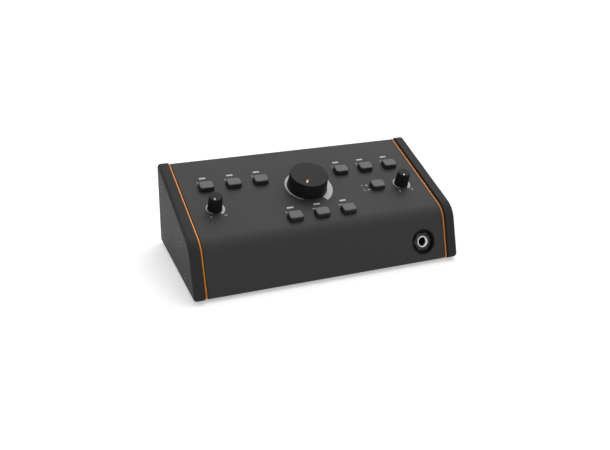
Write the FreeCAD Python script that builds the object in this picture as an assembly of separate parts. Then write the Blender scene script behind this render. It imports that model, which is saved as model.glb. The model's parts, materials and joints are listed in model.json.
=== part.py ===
"""Desktop studio monitor controller: bent steel case, side cheeks, knobs, push buttons and sockets.

Millimetres, +Z up, the front faces -Y. The model is drawn from the lower front edge of the case and
moved at the end, so that the origin is the middle of the footprint on the table.
"""
import FreeCAD
import Part
import math
import os

from FreeCAD import Placement, Rotation, Vector

# Case, seen from the side: a leaning front, a round bend and a sloping panel up to the rear wall
case_depth = 118.0
rear_height = 75.0
corner_height = 42.6
front_lean = 20.0
bend_radius = 19.0
rear_bend_radius = 3.0
sheet = 1.5
rear_lip = 9.0
front_lip = 14.0
floor_width = 218.0
fit_gap = 0.3
slide_gap = 0.3
turning_gap = 0.05

# End plates and cheeks
trim_thickness = 2.4
trim_rim_thickness = 1.6
trim_rim_depth = 1.8
trim_sink = 0.4
trim_lift = 1.8
trim_corner = 1.0
trim_rim_bevel = 0.48
cheek_thickness = 9.3
cheek_proud = 1.75
cheek_corner = 4.0
cheek_edge_round = 2.8

# Screws through each cheek: the upper two by their place along the slope and depth under it
upper_screw_front = 20.5
upper_screw_rear_inset = 17.5
upper_screw_depth = 15.5
lower_screw_front = 30.0
lower_screw_rear_inset = 8.0
lower_screw_height = 9.0
screw_radius = 1.5
screw_head_radius = 2.8
screw_head_height = 1.7
screw_reach = 3.0
case_head_height = 1.1
lip_screw_inset = 3.5
bracket_width = 13.0
bracket_reach = 6.0
bracket_foot = 9.0
side_flange_height = 14.0

# Feet
foot_radius = 6.0
foot_height = 3.3
foot_taper = 0.6
foot_inset_x = 14.0
foot_inset_y = 12.0
case_screw_inset = 38.0

# Buttons and their light windows on the panel
button_pitch = 24.5
upper_row_x = (-87.5, -63.0, -38.5, 38.5, 63.0, 87.5)
upper_row_along = 66.7
lower_row_along = 15.7
select_button_place = (63.5, 40.4)
window_offset = 13.0
button_width = 13.0
button_length = 10.0
button_corner = 2.5
button_height = 4.5
button_draft = 0.45
button_top_bevel = 0.8
button_flange = 1.0
button_flange_height = 1.0
button_travel = 2.5
stem_side = 3.4
stem_entry = 2.0
window_width = 6.0
window_length = 2.0
window_proud = 0.2

# Knobs
volume_place = (0.0, 52.5)
volume_base_radius = 17.6
volume_top_radius = 16.7
volume_top = 14.0
volume_edge_bevel = 0.5
volume_hollow_radius = 10.5
volume_hollow_depth = 5.0
volume_pot_side = 17.0
volume_pot_shoulder = 2.2
volume_bush_proud = 3.5
pot_nut_flats = 12.0
pot_nut_height = 2.0
small_knob_x = 87.5
small_knob_along = 40.0
small_base_radius = 6.3
small_top_radius = 5.6
small_top = 13.5
small_flute_count = 18
small_flute_depth = 0.45
flute_share = 0.6
small_pot_body = (9.8, 11.0, 6.5)
small_pot_bush_radius = 4.0
small_pot_bush_height = 4.0
knob_panel_gap = 0.9
knob_skin = 3.0
pointer_angle = 240.0
pointer_width = 1.5
pointer_depth = 0.6
pointer_inner = 8.2
pointer_outer = 12.4
small_pointer_inner = 2.6
small_pointer_outer = 4.9
small_pointer_width = 1.2
shaft_radius = 3.0
shaft_flat = 1.5
shaft_flat_rise = 1.0
shaft_floor = 4.0

# Control board under the panel
board_thickness = 1.6
board_depth = 14.0
board_half_width = 99.0
board_front = 5.0
board_rear_inset = 19.5
post_flats = 5.5
post_nose_radius = 1.4
post_nose_length = 3.0
front_post_place = (94.0, 20.0)
rear_post_x = 75.0
rear_post_inset = 5.0
switch_side = 8.5
switch_height = 6.6
light_width = 3.2
light_height = 1.7
ribbon_width = 20.0
ribbon_thickness = 0.9
ribbon_bend = 1.5
ribbon_run = 2.5
header_end = 2.0
header_depth = 6.0
header_height = 6.0
header_along = 66.0
header_x = 22.0

# Rear sockets, placed as seen from behind
rear_axis_height = 30.0
power_button_place = -97.0
power_inlet_place = -82.5
output_places = (-66.0, -50.5, -33.0, -17.5, 0.0, 15.5)
input_places = (35.0, 50.5, 68.0, 83.5)
aux_place = 98.0
plug_radius = 3.25
plug_depth = 28.0
jack_width = 13.0
jack_height = 13.0
jack_length = 26.0
jack_bush_radius = 4.5
jack_bush_length = 5.0
jack_nut_flats = 12.0
jack_nut_height = 2.3
aux_radius = 1.8
aux_depth = 14.0
aux_bush_radius = 3.0
aux_bush_length = 4.0
aux_nut_wall = 1.3
aux_nut_height = 1.6
aux_body = (9.0, 7.0, 14.0)
inlet_radius = 3.2
inlet_wall = 1.6
inlet_pin_radius = 1.05
inlet_depth = 9.4
inlet_proud = 0.6
inlet_pin_sink = 0.4
inlet_body = (10.0, 11.0, 14.0)
power_button_radius = 3.6
power_button_proud = 5.0
power_travel = 2.5
power_flange = 1.0
power_flange_height = 0.6
power_bevel = 0.6
power_stem_radius = 2.0
power_stem_length = 7.5
power_body = (9.0, 9.0, 13.0)

# Socket board on the floor
socket_board_half_width = 104.0
socket_board_margin = 13.0
socket_board_rear_gap = 4.0
relay_body = (7.5, 10.0, 8.0)
relay_first = 44.0
relay_pitch = 14.0
front_row_inset = 6.0
capacitor_radius = 4.0
capacitor_height = 12.0
capacitor_first = -20.0
capacitor_pitch = 11.0

# Headphone socket in the front
phones_x = 88.0
phones_up = 19.2
cup_radius = 11.5
cup_wall = 1.1
cup_depth = 4.0
cup_flange = 2.6
phones_bush_radius = 5.15
phones_bush_sink = 1.3
phones_body = (13.0, 11.0, 20.0)
phones_seat_depth = 4.0
phones_nut_flats = 15.0
phones_nut_height = 2.1
phones_depth = 22.0
phones_ring_bevel = 0.4
phones_board_size = (22.0, 20.0)
phones_board_rise = 5.0
phones_lead_width = 8.0
phones_lead_bow = 1.5
phones_lead_bend = 3.0
phones_lead_foot = 15.0
phones_lead_along = 20.0

# How finely round forms are drawn: sides of small bars and holes, of larger ones, and degrees in one chord
small_sides = 8
bush_sides = 12
large_sides = 24
knob_sides = 60
corner_step = 45.0
cheek_step = 15.0
cheek_edge_steps = 3

# Worked out from the sizes above
corner_y = corner_height * math.tan(math.radians(front_lean))
slope = math.atan2(rear_height - corner_height, case_depth - corner_y)
slope_length = math.hypot(case_depth - corner_y, rear_height - corner_height)
half_width = floor_width / 2
trim_outer = half_width + trim_thickness
cheek_outer = trim_outer + cheek_thickness
board_under = board_depth + board_thickness
rear_face = case_depth - sheet
floor_top = 2 * sheet
board_seat = rear_axis_height - jack_height / 2
board_rear = slope_length - board_rear_inset
socket_board_rear = rear_face - socket_board_rear_gap
socket_board_front = rear_face - sheet - jack_length - socket_board_margin
front_row = socket_board_front + front_row_inset

side_outline = [(0.0, 0.0), (corner_y, corner_height), (case_depth, rear_height), (case_depth, 0.0)]


# Helpers for outlines in the side view, as (y, z) points

def crossing(p, u, q, v):
    """The point where the line through p along u meets the line through q along v."""
    d = u[0] * v[1] - u[1] * v[0]
    s = ((q[0] - p[0]) * v[1] - (q[1] - p[1]) * v[0]) / d
    return (p[0] + s * u[0], p[1] + s * u[1])


def offset_outline(points, distances):
    """A closed outline, run clockwise, with each side moved outwards by its own distance."""
    sides = []
    for i, p in enumerate(points):
        q = points[(i + 1) % len(points)]
        length = math.hypot(q[0] - p[0], q[1] - p[1])
        u = ((q[0] - p[0]) / length, (q[1] - p[1]) / length)
        sides.append(((p[0] - u[1] * distances[i], p[1] + u[0] * distances[i]), u))
    return [crossing(*sides[i - 1], *sides[i]) for i in range(len(points))]


def rounded_wire(points, radii, lift):
    """A closed wire through 3-D points made by lift(a, b), with a tangent arc at each corner."""
    count = len(points)
    starts = []
    ends = []
    middles = []
    for i, (point, radius) in enumerate(zip(points, radii)):
        p = Vector(*points[i - 1], 0)
        q = Vector(*point, 0)
        r = Vector(*points[(i + 1) % count], 0)
        u = (p - q).normalize()
        v = (r - q).normalize()
        half = u.getAngle(v) / 2
        cut = radius / math.tan(half)
        inward = (u + v).normalize()
        starts.append(q + u * cut)
        ends.append(q + v * cut)
        middles.append(q + inward * (radius / math.sin(half) - radius))
    edges = []
    for i in range(count):
        a = lift(starts[i].x, starts[i].y)
        b = lift(ends[i].x, ends[i].y)
        c = lift(starts[(i + 1) % count].x, starts[(i + 1) % count].y)
        if radii[i] > 0:
            m = lift(middles[i].x, middles[i].y)
            edges.append(Part.Arc(a, m, b).toShape())
        if (c - b).Length > 1e-6:
            edges.append(Part.LineSegment(b, c).toShape())
    return Part.Wire(edges)


def rounded_points(points, radii, step):
    """The outline's points with each corner's arc drawn as chords of at most step degrees."""
    rounded = []
    for i, (point, radius) in enumerate(zip(points, radii)):
        p = Vector(*points[i - 1], 0)
        q = Vector(*point, 0)
        r = Vector(*points[(i + 1) % len(points)], 0)
        u = (p - q).normalize()
        v = (r - q).normalize()
        half = u.getAngle(v) / 2
        centre = q + (u + v).normalize() * (radius / math.sin(half))
        spoke = q + u * (radius / math.tan(half)) - centre
        turn = math.pi - 2 * half
        chords = math.ceil(math.degrees(turn) / step)
        if u.cross(v).z > 0:
            turn = -turn
        for k in range(chords + 1):
            spoke_k = Rotation(Vector(0, 0, 1), math.degrees(turn * k / chords)).multVec(spoke)
            rounded.append((centre.x + spoke_k.x, centre.y + spoke_k.y))
    return rounded


def stacked(rings):
    """A solid through closed rings of points, one above the other, with flat faces between them."""
    faces = [flat_face(rings[0]), flat_face(rings[-1])]
    for low, high in zip(rings, rings[1:]):
        for i in range(len(low)):
            a, b, c, d = low[i - 1], low[i], high[i], high[i - 1]
            twist = abs((b - a).cross(d - a).normalize().dot(c - a))
            if twist < 1e-6:
                faces.append(flat_face([a, b, c, d]))
            else:
                faces += [flat_face([a, b, c]), flat_face([a, c, d])]
    solid = Part.Solid(Part.Shell(faces))
    return solid if solid.Volume > 0 else solid.reversed()


def flat_face(points):
    return Part.Face(Part.makePolygon(points + points[:1]))


def side_slab(points, radii, x_low, x_high):
    """A slab between two X planes with a rounded outline in the side view."""
    wire = rounded_wire(points, radii, lambda a, b: Vector(x_low, a, b))
    return Part.Face(wire).extrude(Vector(x_high - x_low, 0, 0))


def side_stack(levels, radii, step):
    """A solid through rounded side outlines at (x, move outwards of each side) levels."""
    rings = []
    for x, moves, inset in levels:
        outline = offset_outline(side_outline, [m - inset for m in moves])
        ring = rounded_points(outline, [r - inset for r in radii], step)
        rings.append([Vector(x, y, z) for y, z in ring])
    return stacked(rings)


def sheet_band(path, radii, thickness, x_low, x_high):
    """A bent sheet: an open path of (y, z) points, run so that its thickness lies on the right."""
    back = []
    for i, p in enumerate(path):
        before = path[i - 1] if i else None
        after = path[i + 1] if i + 1 < len(path) else None
        lines = []
        for a, b in ((before, p), (p, after)):
            if a is None or b is None:
                continue
            length = math.hypot(b[0] - a[0], b[1] - a[1])
            u = ((b[0] - a[0]) / length, (b[1] - a[1]) / length)
            lines.append(((p[0] + u[1] * thickness, p[1] - u[0] * thickness), u))
        back.append(crossing(*lines[0], *lines[1]) if len(lines) == 2 else lines[0][0])
    inner = [max(r - thickness * turn, 0.0) for r, turn in radii]
    outer = [r for r, turn in radii]
    return side_slab(path + back[::-1], outer + inner[::-1], x_low, x_high)


def rounded_block(width, length, height, corner, base=0.0, x=0.0, y=0.0):
    """A block centred on x, y with round upright edges, standing on base."""
    outline = rounded_points(block_corners(width, length, x, y), [corner] * 4, corner_step)
    return flat_face([Vector(a, b, base) for a, b in outline]).extrude(Vector(0, 0, height))


def block(width, length, height, base=0.0, x=0.0, y=0.0):
    return Part.makeBox(width, length, height, Vector(x - width / 2, y - length / 2, base))


def cylinder(radius, height, base=0.0, x=0.0, y=0.0):
    return Part.makeCylinder(radius, height, Vector(x, y, base))


def ring(radius, level, x=0.0, y=0.0, sides=small_sides):
    """The corners of a ring with flat sides, at one level."""
    angles = [2 * math.pi * k / sides for k in range(sides)]
    return [Vector(x + radius * math.cos(a), y + radius * math.sin(a), level) for a in angles]


def round_bar(radius, height, base=0.0, x=0.0, y=0.0, sides=small_sides):
    """An upright round bar, drawn with flat sides. A hole cut with the same bar fits it face to face."""
    return flat_face(ring(radius, base, x, y, sides)).extrude(Vector(0, 0, height))


def hexagon(flats, height, base=0.0, x=0.0, y=0.0):
    return round_bar(flats / math.sqrt(3), height, base, x, y, 6)


# Frames of the faces that things are mounted on: local x, y lie in the face and z points out of it

slope_frame = Placement(Vector(0, corner_y, corner_height), Rotation(Vector(1, 0, 0), math.degrees(slope)))
front_frame = Placement(Vector(0, 0, 0), Rotation(Vector(1, 0, 0), 90 - front_lean))
rear_turn = Rotation(Vector(-1, 0, 0), Vector(0, 0, 1), Vector(0, 1, 0), "XYZ")
rear_frame = Placement(Vector(0, rear_face, 0), rear_turn)
side_turn = Rotation(Vector(0, 1, 0), Vector(0, 0, 1), Vector(1, 0, 0), "XYZ")
side_frame = Placement(Vector(), side_turn)


def placed(shape, frame):
    copy = shape.copy()
    copy.Placement = frame.multiply(copy.Placement)
    return copy


def button_places():
    """Each button's name and its place on the slope."""
    names = ("source_1", "source_2", "source_3", "speaker_1", "speaker_2", "speaker_3")
    places = {"button_" + n: (x, upper_row_along) for n, x in zip(names, upper_row_x)}
    for name, column in (("mono", -1), ("dim", 0), ("mute", 1)):
        places["button_" + name] = (column * button_pitch, lower_row_along)
    places["button_phones"] = select_button_place
    return places


def window_places():
    return [(x, y + window_offset) for name, (x, y) in button_places().items() if name != "button_phones"]


def upper_screw_along():
    return (upper_screw_front, slope_length - upper_screw_rear_inset)


def lower_screw_y():
    return (lower_screw_front, case_depth - lower_screw_rear_inset)


def cheek_screw_places():
    """The four screws in the side view, as (y, z)."""
    places = []
    for along in upper_screw_along():
        p = slope_frame.multVec(Vector(0, along, -upper_screw_depth))
        places.append((p.y, p.z))
    return places + [(y, lower_screw_height) for y in lower_screw_y()]


# Case

def make_top_cover():
    """One bent sheet: bottom lip, leaning front, round bend, sloping panel and rear lip."""
    path = [(front_lip, 0.0), (0.0, 0.0), (corner_y, corner_height), (case_depth, rear_height),
            (case_depth, rear_height - rear_lip)]
    bends = [(0, 0), (2 * sheet, 1), (bend_radius, 1), (rear_bend_radius, 1), (0, 0)]
    cover = sheet_band(path, bends, sheet, -half_width, half_width)
    cuts = []
    for x, y in button_places().values():
        hole = rounded_block(button_width + 2 * slide_gap, button_length + 2 * slide_gap, 3 * sheet,
                             button_corner + slide_gap, -2 * sheet, x, y)
        cuts.append(placed(hole, slope_frame))
    for x, y in window_places():
        cuts.append(placed(block(window_width, window_length, 3 * sheet, -2 * sheet, x, y), slope_frame))
    cuts.append(placed(through(jack_bush_radius, *volume_place, bush_sides), slope_frame))
    for side in (-1, 1):
        hole = through(shaft_radius + slide_gap, side * small_knob_x, small_knob_along, bush_sides)
        cuts.append(placed(hole, slope_frame))
    cuts.append(placed(through(cup_radius, phones_x, phones_up, large_sides), front_frame))
    for x in case_screw_x():
        cuts.append(through(screw_radius, x, lip_screw_y()))
        cuts.append(placed(through(screw_radius, x, rear_top_screw_height()), rear_frame))
    return cover.cut(cuts)


def make_side_brackets():
    """Angle brackets spot-welded under the panel, whose upright flanges take the upper cheek screws."""
    brackets = []
    for along in upper_screw_along():
        for side in (-1, 1):
            drop = upper_screw_depth + bracket_reach - sheet
            flange = block(sheet, bracket_width, drop, -sheet - drop, side * (half_width - sheet / 2), along)
            foot_x = side * (half_width - bracket_foot / 2)
            foot = block(bracket_foot, bracket_width, sheet, -2 * sheet, foot_x, along)
            brackets.append(placed(flange.fuse(foot).removeSplitter(), slope_frame))
    holes = [cross_hole(y, z) for y, z in cheek_screw_places()[:2]]
    return Part.makeCompound([bracket.cut(holes) for bracket in brackets])


def through(radius, x, y, sides=small_sides):
    """A tool for a hole right through the sheet at x, y."""
    return round_bar(radius, 6 * sheet, -3 * sheet, x, y, sides)


def cross_hole(y, z):
    """A tool for one cheek screw's hole through both sides of the case."""
    reach = half_width + sheet
    return placed(round_bar(screw_radius, 2 * reach, -reach, y, z), side_frame)


def case_screw_x():
    return (-half_width + case_screw_inset, half_width - case_screw_inset)


def rear_top_screw_height():
    return rear_height - rear_lip / 2 - sheet


def lip_screw_y():
    return front_lip - lip_screw_inset


def make_base_pan():
    """The floor with low flanges at both sides and at the rear."""
    rear_inner = rear_face - sheet
    front = front_lip / 2
    floor = Part.makeBox(2 * half_width, rear_inner - front, sheet, Vector(-half_width, front, sheet))
    rear = Part.makeBox(2 * half_width - 4 * sheet, sheet, side_flange_height - sheet,
                        Vector(-half_width + 2 * sheet, rear_inner - sheet, sheet))
    sides = []
    for x in (-half_width, half_width - sheet):
        at = Vector(x, front_lip, sheet)
        sides.append(Part.makeBox(sheet, rear_inner - front_lip, side_flange_height - sheet, at))
    holes = [cross_hole(y, lower_screw_height) for y in lower_screw_y()]
    for x in case_screw_x():
        holes.append(through(screw_radius, x, lip_screw_y()))
        holes.append(placed(through(screw_radius, x, rear_low_screw_height()), rear_frame))
    return floor.fuse([rear] + sides).cut(holes).removeSplitter()


def rear_low_screw_height():
    return side_flange_height - 2 * screw_head_radius + sheet


def make_rear_panel():
    """The flat plate that carries the sockets."""
    low = sheet + fit_gap
    top = rear_height - rear_bend_radius - 2 * sheet
    plate = block(2 * half_width - 2 * fit_gap, top - low, sheet, -sheet, 0, (top + low) / 2)
    cuts = [through(jack_bush_radius, x, rear_axis_height, bush_sides) for x in output_places + input_places]
    cuts.append(through(aux_bush_radius, aux_place, rear_axis_height, bush_sides))
    cuts.append(through(inlet_radius + inlet_wall, power_inlet_place, rear_axis_height, bush_sides))
    cuts.append(through(power_button_radius + slide_gap, power_button_place, rear_axis_height, large_sides))
    for x in case_screw_x():
        cuts.append(through(screw_radius, x, rear_low_screw_height()))
        cuts.append(through(screw_radius, x, rear_top_screw_height()))
    return placed(plate.cut(cuts), rear_frame)


def make_trim_plate(side):
    """A painted end plate. Its rim is a rounded tongue that shows in the groove beside the cheek."""
    radii = [trim_corner, bend_radius - trim_sink, trim_corner, trim_corner]
    rim = [-trim_sink, -trim_sink, -trim_sink, -trim_lift]
    centre = half_width + trim_thickness / 2
    low = centre - trim_rim_thickness / 2
    high = centre + trim_rim_thickness / 2
    levels = [(low, rim, trim_rim_bevel), (low + trim_rim_bevel, rim, 0.0),
              (high - trim_rim_bevel, rim, 0.0), (high, rim, trim_rim_bevel)]
    tongue = side_stack(levels, radii, cheek_step)
    deep = trim_sink + trim_rim_depth
    web = offset_outline(side_outline, [-deep, -deep, -deep, -trim_lift - trim_rim_depth])
    web_radii = [trim_corner, bend_radius - deep, trim_corner, trim_corner]
    plate = side_slab(web, web_radii, half_width, trim_outer)
    holes = [placed(round_bar(screw_radius + slide_gap, trim_thickness, half_width, y, z), side_frame)
             for y, z in cheek_screw_places()]
    plate = plate.fuse(tongue).cut(holes).removeSplitter()
    return plate if side > 0 else plate.mirror(Vector(), Vector(1, 0, 0))


def make_cheek(side):
    """A side cheek that stands proud of the case, with a rounded outer edge and countersunk holes."""
    proud = [cheek_proud, cheek_proud, 0.0, 0.0]
    radii = [cheek_corner, bend_radius + cheek_proud, cheek_corner, cheek_corner]
    levels = [(trim_outer, proud, 0.0)]
    for k in range(cheek_edge_steps + 1):
        angle = math.pi / 2 * k / cheek_edge_steps
        x = cheek_outer - cheek_edge_round * (1 - math.sin(angle))
        levels.append((x, proud, cheek_edge_round * (1 - math.cos(angle))))
    cheek = side_stack(levels, radii, cheek_step)
    cheek = cheek.cut([countersunk(trim_outer, y, z) for y, z in cheek_screw_places()])
    return cheek if side > 0 else cheek.mirror(Vector(), Vector(1, 0, 0))


def countersunk(tip, y, z):
    """A flush countersunk screw's body, from its tip to the cheek's outer face."""
    neck = cheek_outer - screw_head_height
    shank = round_bar(screw_radius, neck - tip, tip, y, z)
    head = stacked([ring(screw_radius, neck, y, z), ring(screw_head_radius, cheek_outer, y, z)])
    return placed(shank.fuse(head), side_frame)


def make_cheek_screws():
    """Countersunk screws, flush in the cheeks, which end in the thread-formed holes of the case."""
    screws = [countersunk(half_width - screw_reach, y, z) for y, z in cheek_screw_places()]
    return Part.makeCompound(screws + [screw.mirror(Vector(), Vector(1, 0, 0)) for screw in screws])


def case_screw(x, y):
    """A flat-headed screw whose head stands on the local plane z = 0."""
    head = round_bar(screw_head_radius, case_head_height, 0, x, y)
    return head.fuse(round_bar(screw_radius, 3 * sheet, -3 * sheet, x, y))


def make_case_screws():
    """Screws through the cover's two lips and through the foot of the rear panel."""
    under = Placement(Vector(), Rotation(Vector(1, 0, 0), 180))
    on_lip = rear_frame.multiply(Placement(Vector(0, 0, sheet), Rotation()))
    screws = []
    for x in case_screw_x():
        screws.append(placed(case_screw(x, -lip_screw_y()), under))
        screws.append(placed(case_screw(x, rear_top_screw_height()), on_lip))
        screws.append(placed(case_screw(x, rear_low_screw_height()), rear_frame))
    return Part.makeCompound(screws)


def make_rubber_feet():
    """Round feet, a little narrower at the floor, stuck under the pan."""
    feet = []
    for side in (-1, 1):
        x = side * (half_width - foot_inset_x)
        for y in (front_lip + foot_inset_y, case_depth - foot_inset_y - foot_radius):
            floor = ring(foot_radius - foot_taper, sheet - foot_height, x, y, 2 * small_sides)
            feet.append(stacked([floor, ring(foot_radius, sheet, x, y, 2 * small_sides)]))
    return Part.makeCompound(feet)


# Controls on the panel

def make_button(x, y):
    """A cap with drafted sides and a bevelled top, a retaining flange and a stem for its switch."""
    low = -sheet - slide_gap
    levels = ((low, 0.0), (button_height - button_top_bevel, button_draft),
              (button_height, button_draft + button_top_bevel))
    cap = stacked([button_ring(x, y, level, inset) for level, inset in levels])
    flange = block(button_width + 2 * button_flange, button_length + 2 * button_flange, button_flange_height,
                   low - button_flange_height, x, y)
    stem = block(stem_side, stem_side, stem_end() + low, -stem_end(), x, y)
    return placed(cap.fuse([flange, stem]).removeSplitter(), slope_frame)


def button_ring(x, y, level, inset):
    """The cap's outline at one height over the panel."""
    corners = block_corners(button_width - 2 * inset, button_length - 2 * inset, x, y)
    outline = rounded_points(corners, [button_corner - inset / 2] * 4, corner_step)
    return [Vector(a, b, level) for a, b in outline]


def block_corners(width, length, x, y):
    return [(x + a * width / 2, y + b * length / 2) for a, b in ((-1, -1), (1, -1), (1, 1), (-1, 1))]


def stem_end():
    """How far under the panel a button's stem reaches at rest: a little way into its switch."""
    return board_depth - switch_height + stem_entry


def make_switch_bodies():
    """Square switch housings on the board, each with a well that a stem slides in."""
    bodies = []
    for x, y in button_places().values():
        body = block(switch_side, switch_side, switch_height, -board_depth, x, y)
        well = block(stem_side + 2 * slide_gap, stem_side + 2 * slide_gap, switch_height,
                     -stem_end() - button_travel - slide_gap, x, y)
        bodies.append(placed(body.cut(well), slope_frame))
    return Part.makeCompound(bodies)


def make_light_pipes():
    """Clear bars that fill the light windows and stand on the lights."""
    length = board_depth - light_height + window_proud
    foot = light_height - board_depth
    pipes = [block(window_width, window_length, length, foot, x, y) for x, y in window_places()]
    return Part.makeCompound([placed(pipe, slope_frame) for pipe in pipes])


def make_lights():
    lights = [placed(block(light_width, window_length, light_height, -board_depth, x, y), slope_frame)
              for x, y in window_places()]
    return Part.makeCompound(lights)


def pointer_bar(inner, outer, width, x, y, top):
    """A bar sunk in a knob's top, which points along pointer_angle."""
    bar = block(outer - inner, width, pointer_depth, top - pointer_depth, (inner + outer) / 2, 0)
    bar.Placement = Placement(Vector(x, y, 0), Rotation(Vector(0, 0, 1), pointer_angle))
    return bar


def make_volume_knob():
    """A drafted round knob with a bevelled rim, hollow underneath over the nut."""
    x, y = volume_place
    rim = volume_top - volume_edge_bevel
    levels = ((volume_base_radius, knob_panel_gap), (volume_top_radius, rim),
              (volume_top_radius - volume_edge_bevel, volume_top))
    knob = stacked([ring(radius, level, x, y, knob_sides) for radius, level in levels])
    hollow = round_bar(volume_hollow_radius, volume_hollow_depth, knob_panel_gap, x, y, large_sides)
    bar = pointer_bar(pointer_inner, pointer_outer, pointer_width, x, y, volume_top)
    return placed(knob.cut([hollow, shaft(x, y, shaft_top(volume_top)), bar]), slope_frame)


def shaft_top(knob_top):
    return knob_top - knob_skin


def shaft(x, y, top):
    """A shaft with a flat, which stands on the pot's rotor under the panel."""
    bar = cylinder(shaft_radius, top + shaft_bottom(), -shaft_bottom(), x, y)
    flat = block(2 * shaft_radius, 2 * shaft_radius, top, knob_panel_gap + shaft_flat_rise, x,
                 y + shaft_radius + shaft_flat)
    return bar.cut(flat)


def shaft_bottom():
    return board_depth - shaft_floor


def make_small_knob(side):
    """A slim fluted knob, a little wider at its foot."""
    x, y = side * small_knob_x, small_knob_along
    rings = [flute_ring(x, y, radius, level) for radius, level in
             ((small_base_radius, knob_panel_gap), (small_top_radius, small_top))]
    bar = pointer_bar(small_pointer_inner, small_pointer_outer, small_pointer_width, x, y, small_top)
    knob = stacked(rings).cut([shaft(x, y, shaft_top(small_top)), bar])
    return placed(knob, slope_frame)


def flute_ring(x, y, radius, level):
    """A closed ring of ridges and grooves: two points on each ridge and one in each groove."""
    step = 2 * math.pi / small_flute_count
    points = []
    for k in range(small_flute_count):
        for part, depth in ((-flute_share / 2, 0.0), (0.0, small_flute_depth), (flute_share / 2, 0.0)):
            angle = (k + 0.5 + part) * step
            reach = radius - depth
            points.append(Vector(x + reach * math.cos(angle), y + reach * math.sin(angle), level))
    return points


def make_pointer(inner, outer, width, x, y, top):
    return placed(pointer_bar(inner, outer, width, x, y, top), slope_frame)


def make_volume_pot():
    """A square pot body with a threaded bush that is clamped to the panel."""
    x, y = volume_place
    high = sheet + volume_pot_shoulder
    body = block(volume_pot_side, volume_pot_side, board_depth - high, -board_depth, x, y)
    bush = round_bar(jack_bush_radius, high + volume_bush_proud, -high, x, y, bush_sides)
    return placed(body.fuse(bush).cut(pot_bore(x, y)), slope_frame)


def pot_bore(x, y):
    """The bore that a shaft turns in, closed at the rotor's floor."""
    return cylinder(shaft_radius + turning_gap, 2 * board_depth, -shaft_bottom() - slide_gap, x, y)


def make_volume_pot_nut():
    x, y = volume_place
    bush = round_bar(jack_bush_radius, pot_nut_height, 0.0, x, y, bush_sides)
    return placed(hexagon(pot_nut_flats, pot_nut_height, 0.0, x, y).cut(bush), slope_frame)


def make_small_pot(side):
    """A small upright pot, which stands on the board and isn't fixed to the panel."""
    x, y = side * small_knob_x, small_knob_along
    width, length, height = small_pot_body
    body = block(width, length, height, -board_depth, x, y)
    bush = round_bar(small_pot_bush_radius, small_pot_bush_height, height - board_depth, x, y)
    return placed(body.fuse(bush).cut(pot_bore(x, y)), slope_frame)


# Boards

def board_post_places():
    x, y = front_post_place
    rear = board_rear - rear_post_inset
    return [(-x, y), (x, y), (-rear_post_x, rear), (rear_post_x, rear)]


def make_control_board():
    board = block(2 * board_half_width, board_rear - board_front, board_thickness, -board_under, 0,
                  (board_front + board_rear) / 2)
    holes = [round_bar(screw_radius, board_thickness, -board_under, x, y) for x, y in board_post_places()]
    return placed(board.cut(holes), slope_frame)


def snap_post(height, base, x, y):
    """A hexagonal post with a round nose that snaps through a board."""
    nose = round_bar(post_nose_radius, post_nose_length, base + height, x, y)
    return hexagon(post_flats, height, base, x, y).fuse(nose)


def make_control_board_posts():
    """Posts that hang from the panel and hold the board under it."""
    turned = slope_frame.multiply(Placement(Vector(), Rotation(Vector(1, 0, 0), 180)))
    return Part.makeCompound([placed(snap_post(board_depth - sheet, sheet, x, -y), turned)
                              for x, y in board_post_places()])


def socket_post_places():
    x = socket_board_half_width - post_flats
    y = socket_board_front + post_flats
    return [(-x, y), (x, y)]


def make_socket_board():
    depth = socket_board_rear - socket_board_front
    board = block(2 * socket_board_half_width, depth, board_thickness, board_seat - board_thickness, 0,
                  (socket_board_front + socket_board_rear) / 2)
    holes = [round_bar(screw_radius, board_thickness, board_seat - board_thickness, x, y)
             for x, y in socket_post_places()]
    return board.cut(holes)


def make_socket_board_posts():
    height = board_seat - board_thickness - floor_top
    return Part.makeCompound([snap_post(height, floor_top, x, y) for x, y in socket_post_places()])


def make_relays():
    """Sealed signal relays in two groups of three in front of the sockets."""
    xs = [side * (relay_first + relay_pitch * k) for side in (-1, 1) for k in range(3)]
    return Part.makeCompound([block(*relay_body, board_seat, x, front_row) for x in xs])


def make_capacitors():
    xs = [capacitor_first + capacitor_pitch * k for k in range(3)]
    cans = [round_bar(capacitor_radius, capacitor_height, board_seat, x, front_row) for x in xs]
    return Part.makeCompound(cans)


def make_ribbon_headers():
    """The two header boxes that the ribbon cable joins."""
    width = ribbon_width + 2 * header_end
    upper = block(width, header_depth, header_height, -board_under - header_height, header_x, header_along)
    lower = block(width, header_depth, header_height, board_seat, header_x, front_row)
    return Part.makeCompound([placed(upper, slope_frame), lower])


def make_ribbon_cable():
    """The flat cable between the boards, which leaves each header squarely and bends towards the other."""
    upper = -board_under - header_height
    lower = board_seat + header_height
    start = slope_frame.multVec(Vector(0, header_along, upper))
    bend = slope_frame.multVec(Vector(0, header_along, upper - ribbon_run))
    path = [(start.y, start.z), (bend.y, bend.z), (front_row, lower + ribbon_run), (front_row, lower)]
    return sheet_band(path, [(0, 0), (ribbon_bend, 1), (ribbon_bend, -1), (0, 0)], ribbon_thickness,
                      header_x - ribbon_width / 2, header_x + ribbon_width / 2)


def make_phones_lead():
    """The short flat lead from the headphone board up to the control board."""
    foot = front_frame.multVec(Vector(0, phones_up + phones_lead_foot, -phones_back() - board_thickness / 2))
    head = slope_frame.multVec(Vector(0, phones_lead_along, -board_under))
    bow = (foot.y + phones_lead_bow, (foot.z + head.z) / 2)
    path = [(foot.y, foot.z), bow, (head.y, head.z)]
    turn = -1 if head.y < bow[0] else 1
    return sheet_band(path, [(0, 0), (phones_lead_bend, turn), (0, 0)], ribbon_thickness,
                      phones_x - phones_lead_width / 2, phones_x + phones_lead_width / 2)


# Sockets

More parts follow.
